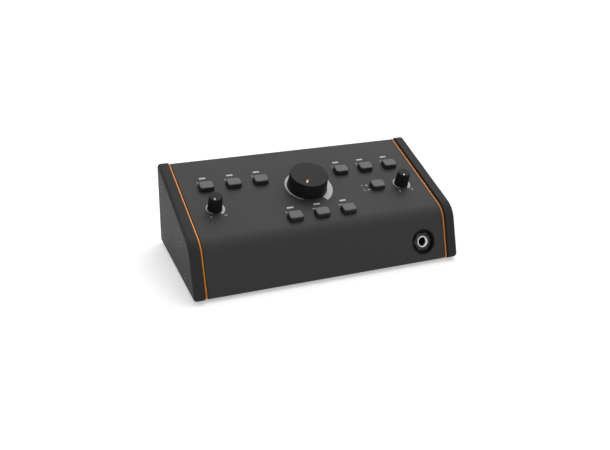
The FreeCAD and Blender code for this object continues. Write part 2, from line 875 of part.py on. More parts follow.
def jack(size, bush_radius, bush_length, bore, x):
    """A socket seen along its axis: a body behind the panel and a threaded bush through it."""
    width, height, length = size
    body = block(width, height, length, -length - sheet, x, rear_axis_height)
    bush = round_bar(bush_radius, bush_length, -sheet, x, rear_axis_height, bush_sides)
    return placed(body.fuse(bush).cut(bore), rear_frame)


def make_plug_jacks(places):
    size = (jack_width, jack_height, jack_length)
    deepest = jack_bush_length - sheet - plug_depth
    jacks = []
    for x in places:
        bore = round_bar(plug_radius, plug_depth, deepest, x, rear_axis_height, 2 * small_sides)
        jacks.append(jack(size, jack_bush_radius, jack_bush_length, bore, x))
    return Part.makeCompound(jacks)


def make_jack_nuts():
    """Hexagonal nuts on the large sockets and a round one on the small socket."""
    nuts = []
    for x in output_places + input_places:
        hole = round_bar(jack_bush_radius, jack_nut_height, 0, x, rear_axis_height, bush_sides)
        nut = hexagon(jack_nut_flats, jack_nut_height, 0, x, rear_axis_height)
        nuts.append(placed(nut.cut(hole), rear_frame))
    aux_nut_radius = aux_bush_radius + aux_nut_wall
    nut = round_bar(aux_nut_radius, aux_nut_height, 0, aux_place, rear_axis_height, bush_sides)
    hole = round_bar(aux_bush_radius, aux_nut_height, 0, aux_place, rear_axis_height, bush_sides)
    return Part.makeCompound(nuts + [placed(nut.cut(hole), rear_frame)])


def make_aux_jack():
    """A small socket. Its bore is round up to the middle of the panel and has flat sides in the nose."""
    middle = -sheet / 2
    length = aux_bore_length()
    round_part = cylinder(aux_radius, length, middle - length, aux_place, rear_axis_height)
    nose_radius = aux_radius / math.cos(math.pi / bush_sides)
    nose_part = round_bar(nose_radius, aux_bush_length, middle, aux_place, rear_axis_height, bush_sides)
    return jack(aux_body, aux_bush_radius, aux_bush_length, round_part.fuse(nose_part), aux_place)


def aux_bore_length():
    """How far the small socket's bore runs behind the middle of the panel."""
    return aux_depth - aux_bush_length + sheet / 2


def make_power_inlet():
    """A round power socket with its centre pin."""
    width, height, length = inlet_body
    x = power_inlet_place
    body = block(width, height, length, -length - sheet, x, rear_axis_height)
    bush = round_bar(inlet_radius + inlet_wall, sheet + inlet_proud, -sheet, x, rear_axis_height, bush_sides)
    bore = cylinder(inlet_radius, inlet_depth + inlet_proud, -inlet_depth, x, rear_axis_height)
    pin = round_bar(inlet_pin_radius, inlet_depth - inlet_pin_sink, -inlet_depth, x, rear_axis_height)
    return placed(body.fuse(bush).cut(bore).fuse(pin), rear_frame)


def make_power_switch():
    """A square switch body far enough behind the panel that the button's flange never reaches it."""
    width, height, length = power_body
    x = power_button_place
    front = -power_flange_back() - power_travel - slide_gap
    body = block(width, height, length, front - length, x, rear_axis_height)
    stop = -power_flange_back() - power_stem_length - power_travel - slide_gap
    well = round_bar(power_stem_radius + slide_gap, front - stop, stop, x, rear_axis_height)
    return placed(body.cut(well), rear_frame)


def power_flange_back():
    """How far behind the panel's face the button's flange reaches at rest."""
    return sheet + slide_gap + power_flange_height


def make_power_button():
    """A round push button with a flange behind the panel and a stem into its switch."""
    x = power_button_place
    levels = ((power_button_radius, -sheet - slide_gap),
              (power_button_radius, power_button_proud - power_bevel),
              (power_button_radius - power_bevel, power_button_proud))
    cap = stacked([ring(radius, level, x, rear_axis_height, large_sides) for radius, level in levels])
    back = power_flange_back()
    flange_radius = power_button_radius + power_flange
    flange = round_bar(flange_radius, power_flange_height, -back, x, rear_axis_height, large_sides)
    stem = round_bar(power_stem_radius, power_stem_length, -back - power_stem_length, x, rear_axis_height)
    return placed(cap.fuse([flange, stem]).removeSplitter(), rear_frame)


def make_phones_cup():
    """A round black dish behind the hole in the front, with the socket clamped in its floor."""
    deep = cup_depth + cup_wall
    dish = phones_bar(cup_radius, deep, -deep)
    flange = phones_bar(cup_radius + cup_flange, cup_wall, -sheet - cup_wall)
    hollow = phones_bar(cup_radius - cup_wall, cup_depth, -cup_depth)
    hole = phones_bar(phones_bush_radius, deep, -deep)
    return placed(dish.fuse(flange).cut([hollow, hole]).removeSplitter(), front_frame)


def phones_bar(radius, height, base):
    return round_bar(radius, height, base, phones_x, phones_up, large_sides)


def make_phones_jack():
    width, height, length = phones_body
    front = cup_depth + cup_wall
    body = block(width, height, length, -front - length, phones_x, phones_up)
    seat = phones_bar(phones_bush_radius, phones_seat_depth, -front - phones_seat_depth)
    bore = cylinder(plug_radius, phones_depth, -phones_bush_sink - phones_depth, phones_x, phones_up)
    return placed(body.cut([seat, bore]), front_frame)


def make_phones_bush():
    """The bright threaded ring that the plug goes into, with a bevelled mouth."""
    back = -(cup_depth + cup_wall + phones_seat_depth)
    mouth = -phones_bush_sink
    levels = ((phones_bush_radius, back), (phones_bush_radius, mouth - phones_ring_bevel),
              (phones_bush_radius - phones_ring_bevel, mouth))
    ring_solid = stacked([ring(radius, level, phones_x, phones_up, large_sides) for radius, level in levels])
    bore = cylinder(plug_radius, mouth - back, back, phones_x, phones_up)
    return placed(ring_solid.cut(bore), front_frame)


def make_phones_nut():
    nut = hexagon(phones_nut_flats, phones_nut_height, -cup_depth, phones_x, phones_up)
    return placed(nut.cut(phones_bar(phones_bush_radius, phones_nut_height, -cup_depth)), front_frame)


def phones_back():
    """How deep behind the front's surface the headphone socket ends."""
    return cup_depth + cup_wall + phones_body[2]


def make_phones_board():
    """A small board on the back of the headphone socket."""
    width, height = phones_board_size
    board = block(width, height, board_thickness, -phones_back() - board_thickness, phones_x,
                  phones_up + phones_board_rise)
    return placed(board, front_frame)


parts = {
    "top_cover": make_top_cover(),
    "side_brackets": make_side_brackets(),
    "base_pan": make_base_pan(),
    "rear_panel": make_rear_panel(),
    "left_trim_plate": make_trim_plate(-1),
    "right_trim_plate": make_trim_plate(1),
    "left_cheek": make_cheek(-1),
    "right_cheek": make_cheek(1),
    "cheek_screws": make_cheek_screws(),
    "case_screws": make_case_screws(),
    "rubber_feet": make_rubber_feet(),
    "control_board": make_control_board(),
    "control_board_posts": make_control_board_posts(),
    "switch_bodies": make_switch_bodies(),
    "light_pipes": make_light_pipes(),
    "lights": make_lights(),
    "volume_pot": make_volume_pot(),
    "volume_pot_nut": make_volume_pot_nut(),
    "source_level_pot": make_small_pot(-1),
    "phones_level_pot": make_small_pot(1),
    "volume_knob": make_volume_knob(),
    "volume_pointer": make_pointer(pointer_inner, pointer_outer, pointer_width, *volume_place, volume_top),
    "volume_shaft": placed(shaft(*volume_place, shaft_top(volume_top)), slope_frame),
    "socket_board": make_socket_board(),
    "socket_board_posts": make_socket_board_posts(),
    "relays": make_relays(),
    "capacitors": make_capacitors(),
    "ribbon_headers": make_ribbon_headers(),
    "ribbon_cable": make_ribbon_cable(),
    "phones_lead": make_phones_lead(),
    "speaker_output_jacks": make_plug_jacks(output_places),
    "source_input_jacks": make_plug_jacks(input_places),
    "jack_nuts": make_jack_nuts(),
    "aux_jack": make_aux_jack(),
    "power_inlet": make_power_inlet(),
    "power_switch": make_power_switch(),
    "power_button": make_power_button(),
    "phones_cup": make_phones_cup(),
    "phones_jack": make_phones_jack(),
    "phones_bush": make_phones_bush(),
    "phones_nut": make_phones_nut(),
    "phones_board": make_phones_board(),
}
for side, name in ((-1, "source_level"), (1, "phones_level")):
    place = (side * small_knob_x, small_knob_along)
    parts[name + "_knob"] = make_small_knob(side)
    parts[name + "_pointer"] = make_pointer(small_pointer_inner, small_pointer_outer,
                                            small_pointer_width, *place, small_top)
    parts[name + "_shaft"] = placed(shaft(*place, shaft_top(small_top)), slope_frame)
for name, (x, y) in button_places().items():
    parts[name] = make_button(x, y)

os.makedirs("parts", exist_ok=True)
whole = Part.makeCompound(list(parts.values())).BoundBox
to_origin = Vector(-(whole.XMin + whole.XMax) / 2, -(whole.YMin + whole.YMax) / 2, -whole.ZMin)
for name, shape in parts.items():
    shape.translate(to_origin)
    shape.exportStep("parts/%s.step" % name)
print(len(parts), "parts, size", round(whole.XLength, 2), round(whole.YLength, 2), round(whole.ZLength, 2))
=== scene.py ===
# %% [markdown]
# # A desktop monitor controller
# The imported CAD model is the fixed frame: it says where every piece is and what it moves with. This
# script dresses that frame. It gives each carried-over piece a finish, and swaps the pieces that the
# camera sees closely for smoother ones of the same size in the same place.

# %% Load the frame
import bpy
import bmesh
import json
import math
from collections import namedtuple
from mathutils import Matrix, Vector


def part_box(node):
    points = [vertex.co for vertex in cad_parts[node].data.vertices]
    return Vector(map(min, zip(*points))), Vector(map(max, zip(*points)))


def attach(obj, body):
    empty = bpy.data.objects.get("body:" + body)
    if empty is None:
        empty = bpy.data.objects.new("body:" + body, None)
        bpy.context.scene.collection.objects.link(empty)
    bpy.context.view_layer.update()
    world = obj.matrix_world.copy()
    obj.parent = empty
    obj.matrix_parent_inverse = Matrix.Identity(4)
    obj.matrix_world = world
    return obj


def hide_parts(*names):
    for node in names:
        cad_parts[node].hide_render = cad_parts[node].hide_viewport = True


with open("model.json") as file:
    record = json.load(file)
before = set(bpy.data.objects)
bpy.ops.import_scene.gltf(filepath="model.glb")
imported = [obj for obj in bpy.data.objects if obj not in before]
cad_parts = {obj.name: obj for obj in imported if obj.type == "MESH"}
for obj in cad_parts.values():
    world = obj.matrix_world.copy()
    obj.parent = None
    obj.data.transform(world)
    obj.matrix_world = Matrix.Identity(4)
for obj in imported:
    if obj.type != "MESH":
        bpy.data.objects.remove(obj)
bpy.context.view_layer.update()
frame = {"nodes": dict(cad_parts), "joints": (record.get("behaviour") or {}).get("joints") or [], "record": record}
MM = 0.001
record = frame["record"]
joints = {j["name"]: j for j in frame["joints"]}
mounts = {m["name"]: m for m in record["mounts"]}
slot_of = {row["node"]: row["material_slot"] for row in record["subparts"]}
body_of = {node: body for body, nodes in record["behaviour"]["bodies"].items() for node in nodes}

# %% [markdown]
# ## The camera
# The photograph is taken from the left of the product, a little above it. A perspective camera is set
# by its place, its heading and its lens. The heading is built from three angles, because that keeps
# each of them readable: the turn to the right, the tilt down and a slight roll.

# %% Camera
HEADING = math.radians(23.124)
TILT = math.radians(25.735)
ROLL = math.radians(2.041)
LENS = 46.252
PLACE = (-0.24998, -0.57927, 0.32882)
ahead = Vector((math.sin(HEADING) * math.cos(TILT), math.cos(HEADING) * math.cos(TILT), -math.sin(TILT)))
level = Vector((math.cos(HEADING), -math.sin(HEADING), 0))
upright = level.cross(ahead)
picture_right = level * math.cos(ROLL) + upright * math.sin(ROLL)
picture_up = upright * math.cos(ROLL) - level * math.sin(ROLL)
camera = bpy.data.objects.new("camera", bpy.data.cameras.new("camera"))
camera.data.lens = LENS
camera.data.sensor_width = 36
camera.data.clip_start = 0.01
camera.matrix_world = Matrix((picture_right, picture_up, -ahead)).transposed().to_4x4()
camera.location = PLACE
scene = bpy.context.scene
scene.collection.objects.link(camera)
scene.camera = camera
print("camera looks along", [round(a, 3) for a in ahead])

# %% [markdown]
# ## Faces of the product
# Things are mounted on the sloping panel, the leaning front and the rear wall. For each of these a
# matrix turns "so far right, so far up, so far out" on that face into the row frame, so that a piece
# can be drawn flat and then laid where it belongs. The panel's matrix comes from the axis of the
# volume joint, and the front's from the headphone socket's mount.

# %% Faces
def face(origin, right, out):
    """The matrix of a face whose own x is right and whose own z points out of it."""
    right, out = Vector(right), Vector(out).normalized()
    turned = Matrix((right, out.cross(right), out)).transposed().to_4x4()
    return Matrix.Translation(origin) @ turned


def node_points(node, on):
    """A CAD node's points in the measure of a face."""
    back = on.inverted()
    return [back @ v.co for v in frame["nodes"][node].data.vertices]


def solids_of(name):
    """The points of each separate solid in a CAD node, in the order that the node holds them."""
    work = bmesh.new()
    work.from_mesh(frame["nodes"][name].data)
    bmesh.ops.remove_doubles(work, verts=work.verts, dist=1e-6)
    left = set(work.verts)
    found = []
    for first in work.verts:
        if first not in left:
            continue
        left.remove(first)
        todo = [first]
        points = []
        while todo:
            v = todo.pop()
            points.append(v.co.copy())
            near = {e.other_vert(v) for e in v.link_edges} & left
            left -= near
            todo += near
        found.append(points)
    work.free()
    return found


def box_of(points):
    return [Vector(f(c) for c in zip(*points)) for f in (min, max)]


def crowns(node, on):
    """The middle of each solid's outermost face, in the measure of a face, from left to right."""
    middles = []
    for points in solids_of(node):
        points = [on.inverted() @ p for p in points]
        top = max(p.z for p in points)
        low, high = box_of([p for p in points if p.z > top - 0.02 * MM])
        middles.append(Vector(((low.x + high.x) / 2, (low.y + high.y) / 2, top)))
    return sorted(middles, key=lambda q: q.x)


volume_axis = joints["volume_turn"]
panel = face(Vector(volume_axis["pos_m"]), (1, 0, 0), -Vector(volume_axis["axis"]))
socket_mount = mounts["headphone_socket"]
socket_out = Vector(socket_mount["axis"])
rear_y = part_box("rear_panel")[1].y
rear = face(Vector((0, rear_y, 0)), (-1, 0, 0), (0, 1, 0))
cover_low, cover_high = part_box("top_cover")
front_points = node_points("top_cover", face(Vector(socket_mount["pos_m"]), (1, 0, 0), socket_out))
front_level = max(p.z for p in front_points)
front = face(Vector(socket_mount["pos_m"]) + socket_out * front_level, (1, 0, 0), socket_out)
print("front face", round(front_level / MM, 3), "mm outside the socket's middle")
print("rear wall at", round(rear_y, 5))

# %% [markdown]
# ## Finishes
# A real surface is never one flat colour. Powder paint has a fine orange-peel skin, moulded plastic a
# dull even grain, rolled sheet a faint cloudiness. Each finish here starts from one recipe: a fine
# noise for the skin's bumps and a broad noise that shifts the tone and the gloss a little. Both read
# Object coordinates, which are real sizes here, so the grain keeps its scale on every piece.

# %% The common recipe
def wire(tree, made, **inputs):
    """Sets a node's inputs: a socket makes a link, and anything else is a value."""
    for name, value in inputs.items():
        socket = made.inputs[int(name[1:])] if name[0] == "i" and name[1:].isdigit() else made.inputs[name]
        if isinstance(value, bpy.types.NodeSocket):
            tree.links.new(value, socket)
        else:
            socket.default_value = value
    return made


def node(tree, kind, settings=None, **inputs):
    made = tree.nodes.new(kind)
    for name, value in (settings or {}).items():
        setattr(made, name, value)
    return wire(tree, made, **inputs)


def sum_of(tree, how, a, b=0.0):
    """One step of arithmetic in a node tree."""
    return node(tree, "ShaderNodeMath", {"operation": how}, i0=a, i1=b).outputs[0]


def times(tree, a, b):
    return sum_of(tree, "MULTIPLY", a, b)


Look = namedtuple("Look", "material tree shader place tones bump")


def grey(value):
    return (value, value, value, 1)


def tinted(colour, share):
    return tuple(min(c * share, 1) for c in colour[:3]) + (1,)


def finish(name, colour, rough, grain=0.35, depth=0.02, cloud=25.0, shift=0.08, rough_shift=0.06, **more):
    """A finish with a fine skin (grain and depth in mm) and broad clouds of tone (cloud in mm)."""
    material = bpy.data.materials.new(name)
    material.use_nodes = True
    tree = material.node_tree
    shader = tree.nodes["Principled BSDF"]
    place = node(tree, "ShaderNodeTexCoord").outputs["Object"]
    broad = node(tree, "ShaderNodeTexNoise", Vector=place, Scale=1 / (cloud * MM), Detail=3.0, Roughness=0.6)
    fine = node(tree, "ShaderNodeTexNoise", Vector=place, Scale=1 / (grain * MM), Detail=2.0, Roughness=0.5)
    tones = node(tree, "ShaderNodeMix", {"data_type": "RGBA"}, Factor=broad.outputs["Fac"],
                 i6=tinted(colour, 1 - shift), i7=tinted(colour, 1 + shift))
    gloss = node(tree, "ShaderNodeMapRange", Value=broad.outputs["Fac"])
    wire(tree, gloss, i3=rough - rough_shift, i4=min(rough + rough_shift, 1.0))
    bump = node(tree, "ShaderNodeBump", Height=fine.outputs["Fac"], Distance=depth * MM, Strength=1.0)
    tree.links.new(tones.outputs[2], shader.inputs["Base Color"])
    tree.links.new(gloss.outputs[0], shader.inputs["Roughness"])
    tree.links.new(bump.outputs[0], shader.inputs["Normal"])
    for socket, value in more.items():
        shader.inputs[socket.replace("_", " ")].default_value = value
    return Look(material, tree, shader, place, tones, bump)


def relief(look, height, depth):
    """Adds a second pattern under the fine skin of a finish."""
    second = node(look.tree, "ShaderNodeBump", Height=height, Distance=depth * MM, Strength=1.0)
    look.tree.links.new(second.outputs[0], look.bump.inputs["Normal"])


def overlay(look, share, colour):
    """Paints a second colour over a finish where share is 1."""
    mixed = node(look.tree, "ShaderNodeMix", {"data_type": "RGBA"}, Factor=share,
                 i6=look.tones.outputs[2], i7=colour)
    look.tree.links.new(mixed.outputs[2], look.shader.inputs["Base Color"])


looks = {}
print("recipe ready")

# %% [markdown]
# ### Painted steel, cheeks and trim
# The case has a fine matt powder paint: tiny soft bumps and a dull sheen. The cheeks are smoother. The
# trim is glossy paint, which a clear coat over the orange gives, with its own thin reflection.

# %% Paints
looks["case_paint"] = finish("powder_paint", grey(0.034), 0.6, grain=0.32, depth=0.018, cloud=40,
                             shift=0.06, Specular_IOR_Level=0.22)
looks["cheek_black"] = finish("cheek_paint", grey(0.034), 0.5, grain=0.5, depth=0.012, cloud=30,
                              shift=0.07, Specular_IOR_Level=0.06)
looks["trim_orange"] = finish("orange_enamel", (0.9, 0.3, 0.025, 1), 0.3, grain=1.5, depth=0.006, cloud=12,
                              shift=0.05, Coat_Weight=0.5, Coat_Roughness=0.15, Specular_IOR_Level=0.25)
print("paints", len(looks))

# %% [markdown]
# ### Metals
# Bare metals differ by how they were worked. Turned aluminium and the plated ring have fine lines that
# run one way, which a noise stretched by a Mapping node draws. Zinc plating grows in crystals, which
# Voronoi cells imitate. Blackened screws keep a dull oily tone with worn, brighter spots.

# %% Metals
def stretched(look, stretch, spacing):
    """A noise drawn out into lines: stretch is the scale along each axis."""
    mapping = node(look.tree, "ShaderNodeMapping", Vector=look.place, Scale=stretch)
    lines = node(look.tree, "ShaderNodeTexNoise", Vector=mapping.outputs[0], Scale=1 / (spacing * MM),
                 Detail=2.0)
    return lines.outputs["Fac"]


def pattern(look, kind, **inputs):
    """A texture node of one kind in a finish, which reads the finish's own coordinates."""
    return node(look.tree, kind, Vector=look.place, **inputs).outputs


def ramp(look, value, low, high, at_low, at_high):
    """A value turned into a share: at_low up to low, then evenly on to at_high at high."""
    made = node(look.tree, "ShaderNodeMapRange", Value=value)
    wire(look.tree, made, i1=low, i2=high, i3=at_low, i4=at_high)
    return made.outputs[0]


looks["bright_chrome"] = finish("bright_plating", grey(0.72), 0.16, grain=0.8, depth=0.002, cloud=6,
                                shift=0.03, rough_shift=0.04, Metallic=1.0)
relief(looks["bright_chrome"], stretched(looks["bright_chrome"], (1, 1, 0.05), 0.15), 0.003)
looks["turned_aluminium"] = finish("turned_aluminium", (0.74, 0.75, 0.76, 1), 0.32, depth=0.004, Metallic=1.0)
relief(looks["turned_aluminium"], stretched(looks["turned_aluminium"], (0.05, 1, 1), 0.12), 0.01)
looks["zinc_steel"] = finish("zinc_plating", (0.52, 0.53, 0.52, 1), 0.38, depth=0.006, cloud=8, Metallic=1.0)
crystals = pattern(looks["zinc_steel"], "ShaderNodeTexVoronoi", Scale=700.0)
shine = times(looks["zinc_steel"].tree, crystals["Distance"], 0.25)
overlay(looks["zinc_steel"], shine, (0.66, 0.67, 0.64, 1))
for slot_name, tone in (("blackened_steel", 0.022), ("black_steel", 0.04)):
    looks[slot_name] = finish(slot_name, grey(tone), 0.48, grain=0.4, depth=0.01, cloud=4, shift=0.15,
                              Metallic=0.35, Specular_IOR_Level=0.4)
    worn = pattern(looks[slot_name], "ShaderNodeTexNoise", Scale=900.0, Detail=4.0)["Fac"]
    overlay(looks[slot_name], ramp(looks[slot_name], worn, 0.62, 0.75, 0.0, 0.5), grey(tone * 2.2))
print("metals", len(looks))

# %% [markdown]
# ### Plastics, rubber and the parts inside
# Knobs and button caps are moulded, with the tiny spark-eroded pits of the mould. The light windows
# are frosted and ribbed. The boards have tracks under green varnish, drawn by a brick pattern, and
# the flat cables are a row of round wires, which a wave across the cable draws. The caps' tops are
# pale, and their sides are painted near black according to which way each face turns: that is painted shade.

# %% Plastics
looks["knob_black"] = finish("knob_plastic", grey(0.009), 0.5, grain=0.25, depth=0.012,
                             Specular_IOR_Level=0.12)
looks["cap_grey"] = finish("cap_plastic", grey(0.13), 0.6, grain=0.3, depth=0.02, cloud=5,
                           Specular_IOR_Level=0.25)
panel_out = panel.col[2].xyz
facing = node(looks["cap_grey"].tree, "ShaderNodeTexCoord").outputs["Normal"]
painted_shade_facing = node(looks["cap_grey"].tree, "ShaderNodeVectorMath", {"operation": "DOT_PRODUCT"},
              i0=facing, i1=panel_out).outputs["Value"]
# Painted shade: faces turned away from the panel's outward direction are painted near black.
overlay(looks["cap_grey"], ramp(looks["cap_grey"], painted_shade_facing, 0.35, 0.85, 1.0, 0.0), grey(0.012))
looks["moulded_black"] = finish("moulded_black", grey(0.007), 0.5, grain=0.3, depth=0.012,
                                Specular_IOR_Level=0.14)
looks["foot_rubber"] = finish("foot_rubber", grey(0.02), 0.85, grain=0.6, depth=0.04, Specular_IOR_Level=0.2)
looks["light_window"] = finish("frosted_window", (0.46, 0.47, 0.49, 1), 0.42, depth=0.004, cloud=3)
ribs = pattern(looks["light_window"], "ShaderNodeTexWave", Scale=900.0)["Fac"]
relief(looks["light_window"], ribs, 0.02)
looks["pointer_orange"] = finish("pointer_orange", (0.95, 0.42, 0.12, 1), 0.4, depth=0.004, cloud=2,
                                 shift=0.12)
looks["pointer_white"] = finish("pointer_white", grey(0.75), 0.4, depth=0.004, cloud=2)
looks["print_grey"] = finish("print_ink", grey(0.47), 0.6, grain=0.2, depth=0.004, cloud=1.2, shift=0.1)
looks["board_green"] = finish("board_varnish", (0.02, 0.12, 0.05, 1), 0.35, depth=0.006, Coat_Weight=0.3)
tracks = pattern(looks["board_green"], "ShaderNodeTexBrick", Scale=160.0, i5=0.06)["Fac"]
overlay(looks["board_green"], tracks, (0.035, 0.2, 0.08, 1))
relief(looks["board_green"], tracks, 0.03)
looks["ribbon_grey"] = finish("ribbon_grey", grey(0.42), 0.5, depth=0.006)
wires = pattern(looks["ribbon_grey"], "ShaderNodeTexWave", Scale=125.0)["Fac"]
relief(looks["ribbon_grey"], wires, 0.25)
overlay(looks["ribbon_grey"], wires, grey(0.5))
for name, cad in frame["nodes"].items():
    cad.data.materials.clear()
    cad.data.materials.append(looks[slot_of[name]].material)
print("finishes", len(looks), "on", len(frame["nodes"]), "CAD nodes")

# %% [markdown]
# ## Tools of the workshop
# Most pieces here are a stack of closed rings: round rings make a turned part, and a ring with flats
# makes a nut. Joining ring to ring gives clean strips of four-sided faces that shade smoothly. A piece
# is drawn in its face's own measure and then laid in place, so its object stays at the origin.

# %% Rings and stacks
def circle(radius, height, sides=48, x=0.0, y=0.0):
    turns = (2 * math.pi * k / sides for k in range(sides))
    return [Vector((x + radius * math.cos(a), y + radius * math.sin(a), height)) for a in turns]


def flats(across, height, limit, sides=48, count=6):
    """A ring with flats, cut back to a circle of radius limit where its corners reach past it."""
    ring = []
    for k in range(sides):
        a = 2 * math.pi * k / sides
        off = (a % (2 * math.pi / count)) - math.pi / count
        reach = min(across / 2 / math.cos(off), limit)
        ring.append(Vector((reach * math.cos(a), reach * math.sin(a), height)))
    return ring


def block_ring(width, length, corner, height, steps=7):
    """A rectangle with round corners."""
    ring = []
    for k, (sx, sy) in enumerate(((1, 1), (-1, 1), (-1, -1), (1, -1))):
        for n in range(steps + 1):
            a = math.pi / 2 * (k + n / steps)
            ring.append(Vector((sx * (width / 2 - corner) + corner * math.cos(a),
                                sy * (length / 2 - corner) + corner * math.sin(a), height)))
    return ring


def stack(rings, closed=False):
    """Points and faces through rings, with the ends capped, or joined to each other if closed."""
    count = len(rings[0])
    points = [p for ring in rings for p in ring]
    faces = []
    for n in range(len(rings) if closed else len(rings) - 1):
        low, high = n * count, (n + 1) % len(rings) * count
        for k in range(count):
            after = (k + 1) % count
            faces.append((low + k, low + after, high + after, high + k))
    if not closed:
        faces.append(tuple(reversed(range(count))))
        faces.append(tuple(range(len(points) - count, len(points))))
    return points, faces


def turned(profile, sides=96):
    """The rings of a turned part, from (radius, height) pairs."""
    return [circle(r, h, sides) for r, h in profile]


def lathe(profile, sides, closed=False):
    """A turned part from (radius, height) pairs in mm."""
    return stack(turned([(r * MM, h * MM) for r, h in profile], sides), closed)


def edge_round(radius, height, r, steps=6):
    """(radius, height) pairs round the outer upper edge of a turned part."""
    pairs = []
    for n in range(steps + 1):
        a = math.pi / 2 * n / steps
        pairs.append((radius - r * (1 - math.cos(a)), height - r * (1 - math.sin(a))))
    return pairs


def added(name, data):
    """A new object in the scene."""
    made = bpy.data.objects.new(name, data)
    scene.collection.objects.link(made)
    return made


def evaluated(made):
    """The plain mesh that an object's modifiers or letters give."""
    return bpy.data.meshes.new_from_object(made.evaluated_get(bpy.context.evaluated_depsgraph_get()))


def shaded(mesh, crease):
    """Smooth shading with sharp edges where faces meet at more than crease degrees."""
    mesh.shade_smooth()
    mesh.set_sharp_from_angle(angle=math.radians(crease))


def merged(made, *others):
    """Takes other objects' meshes into one object, removes them, and turns every face outwards."""
    work = bmesh.new()
    work.from_mesh(made.data)
    for other in others:
        work.from_mesh(other.data)
        bpy.data.objects.remove(other)
    bmesh.ops.recalc_face_normals(work, faces=work.faces)
    work.to_mesh(made.data)
    work.free()
    return made


def solid(name, parts, at=None, crease=32, weighted=True):
    """A mesh object from several stacks, laid in place, with crisp creases and even flat faces."""
    work = bmesh.new()
    for points, faces in parts:
        made = [work.verts.new(p) for p in points]
        for f in faces:
            work.faces.new([made[k] for k in f])
    bmesh.ops.recalc_face_normals(work, faces=work.faces)
    mesh = bpy.data.meshes.new(name)
    work.to_mesh(mesh)
    work.free()
    if at:
        mesh.transform(at)
    shaded(mesh, crease)
    made = added(name, mesh)
    if weighted:
        even = made.modifiers.new("even_faces", "WEIGHTED_NORMAL")
        even.keep_sharp = True
    return made


def fit(made, body, slot_name, *replaced):
    """Gives a piece the finish of a record slot and its body, and hides the CAD nodes that it stands for."""
    made.data.materials.clear()
    made.data.materials.append(looks[slot_name].material)
    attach(made, body)
    if replaced:
        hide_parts(*replaced)
    print(made.name, "faces", len(made.data.polygons), "on", body)
    return made


def spot(on, place, height=0.0):
    """The matrix of a place on a face."""
    return on @ Matrix.Translation((place[0], place[1], height))

# %% [markdown]
# ## The side outline
# Cheeks and trim share the side view of the case: a flat foot, the leaning front, the sloping panel
# and the upright rear. Each side is a line given by its outward direction and its distance, so moving
# a side out or in is one number. Round corners are arcs that run from one side's direction to the
# next, and a smaller outline with the same arcs' centres keeps its corners parallel.

# %% Side outline
def side_line(out, on):
    """A face's outward direction in the side view, and how far out the face lies."""
    out = Vector(out.yz)
    return out, out.dot(on.translation.yz)


def side_ring(x, moves, radii, inset, steps=10):
    """The case's side outline at one X, with its sides moved out and its corners rounded."""
    lines = [(Vector((0, -1)), -cover_low.z), side_line(socket_out, front),
             side_line(panel.col[2], panel), (Vector((1, 0)), cover_high.y)]
    ring = []
    for k in range(4):
        (n1, d1), (n2, d2) = lines[k - 1], lines[k]
        r = max(radii[k] - inset, 0.1 * MM)
        d1, d2 = d1 + moves[k - 1] - inset - r, d2 + moves[k] - inset - r
        cross = n1.x * n2.y - n1.y * n2.x
        centre = Vector(((d1 * n2.y - d2 * n1.y) / cross, (d2 * n1.x - d1 * n2.x) / cross))
        a1 = math.atan2(n1.y, n1.x)
        turn = (math.atan2(n2.y, n2.x) - a1 + math.pi) % (2 * math.pi) - math.pi
        for n in range(steps + 1):
            a = a1 + turn * n / steps
            ring.append(Vector((x, centre.x + r * math.cos(a), centre.y + r * math.sin(a))))
    return ring


print("outline points", len(side_ring(0, [0] * 4, [4 * MM] * 4, 0)))

# %% [markdown]
# ## Countersunk screws
# Four screws hold each cheek. Their heads lie flush, so what shows is mainly the small dark socket for
# the key. One screw is drawn as a stack whose rings change from a six-sided socket to the round cone of
# the head. Geometry Nodes then set copies of it on points, each point with its own outward direction,
# which is the way to repeat a fastener: the places can change without touching the screw.

# %% A tree that sets copies of a piece on points
def tree_of(name, **inputs):
    """An empty Geometry Nodes tree with named inputs: returns it with its input and output nodes."""
    tree = bpy.data.node_groups.new(name, "GeometryNodeTree")
    tree.interface.new_socket(name="Geometry", in_out="INPUT", socket_type="NodeSocketGeometry")
    for label, kind in list(inputs.items()) + [("Material", "Material")]:
        tree.interface.new_socket(name=label.replace("_", " "), in_out="INPUT",
                                  socket_type="NodeSocket" + kind)
    tree.interface.new_socket(name="Geometry", in_out="OUTPUT", socket_type="NodeSocketGeometry")
    return tree, tree.nodes.new("NodeGroupInput").outputs, tree.nodes.new("NodeGroupOutput")


def close_tree(tree, given, result, shape):
    """Ends a tree with one plain mesh in the given material."""
    plain = node(tree, "GeometryNodeRealizeInstances", Geometry=shape)
    coated = node(tree, "GeometryNodeSetMaterial", Geometry=plain.outputs[0], Material=given["Material"])
    wire(tree, result, Geometry=coated.outputs[0])


def grown(name, tree, values, start=None):
    """Runs a tree on a mesh and returns the result as a plain mesh object."""
    seed = added(name + "_seed", start or bpy.data.meshes.new(name + "_seed"))
    modifier = seed.modifiers.new("grow", "NODES")
    modifier.node_group = tree
    sockets = {s.name: s.identifier for s in tree.interface.items_tree if s.in_out == "INPUT"}
    for label, value in values.items():
        modifier[sockets[label]] = value
    bpy.context.view_layer.update()
    mesh = evaluated(seed)
    seed.modifiers.clear()
    bpy.data.objects.remove(seed)
    mesh.name = name
    return added(name, mesh)


copies, given, result = tree_of("copies_on_points", Piece="Object", Size="Float")
outward = node(copies, "GeometryNodeInputNamedAttribute", {"data_type": "FLOAT_VECTOR"}, Name="outward")
aim = node(copies, "FunctionNodeAlignRotationToVector", {"axis": "Z"}, Vector=outward.outputs[0])
source = node(copies, "GeometryNodeObjectInfo", Object=given["Piece"])
placed = node(copies, "GeometryNodeInstanceOnPoints", Points=given["Geometry"],
              Instance=source.outputs["Geometry"], Rotation=aim.outputs[0], Scale=given["Size"])
close_tree(copies, given, result, placed.outputs[0])


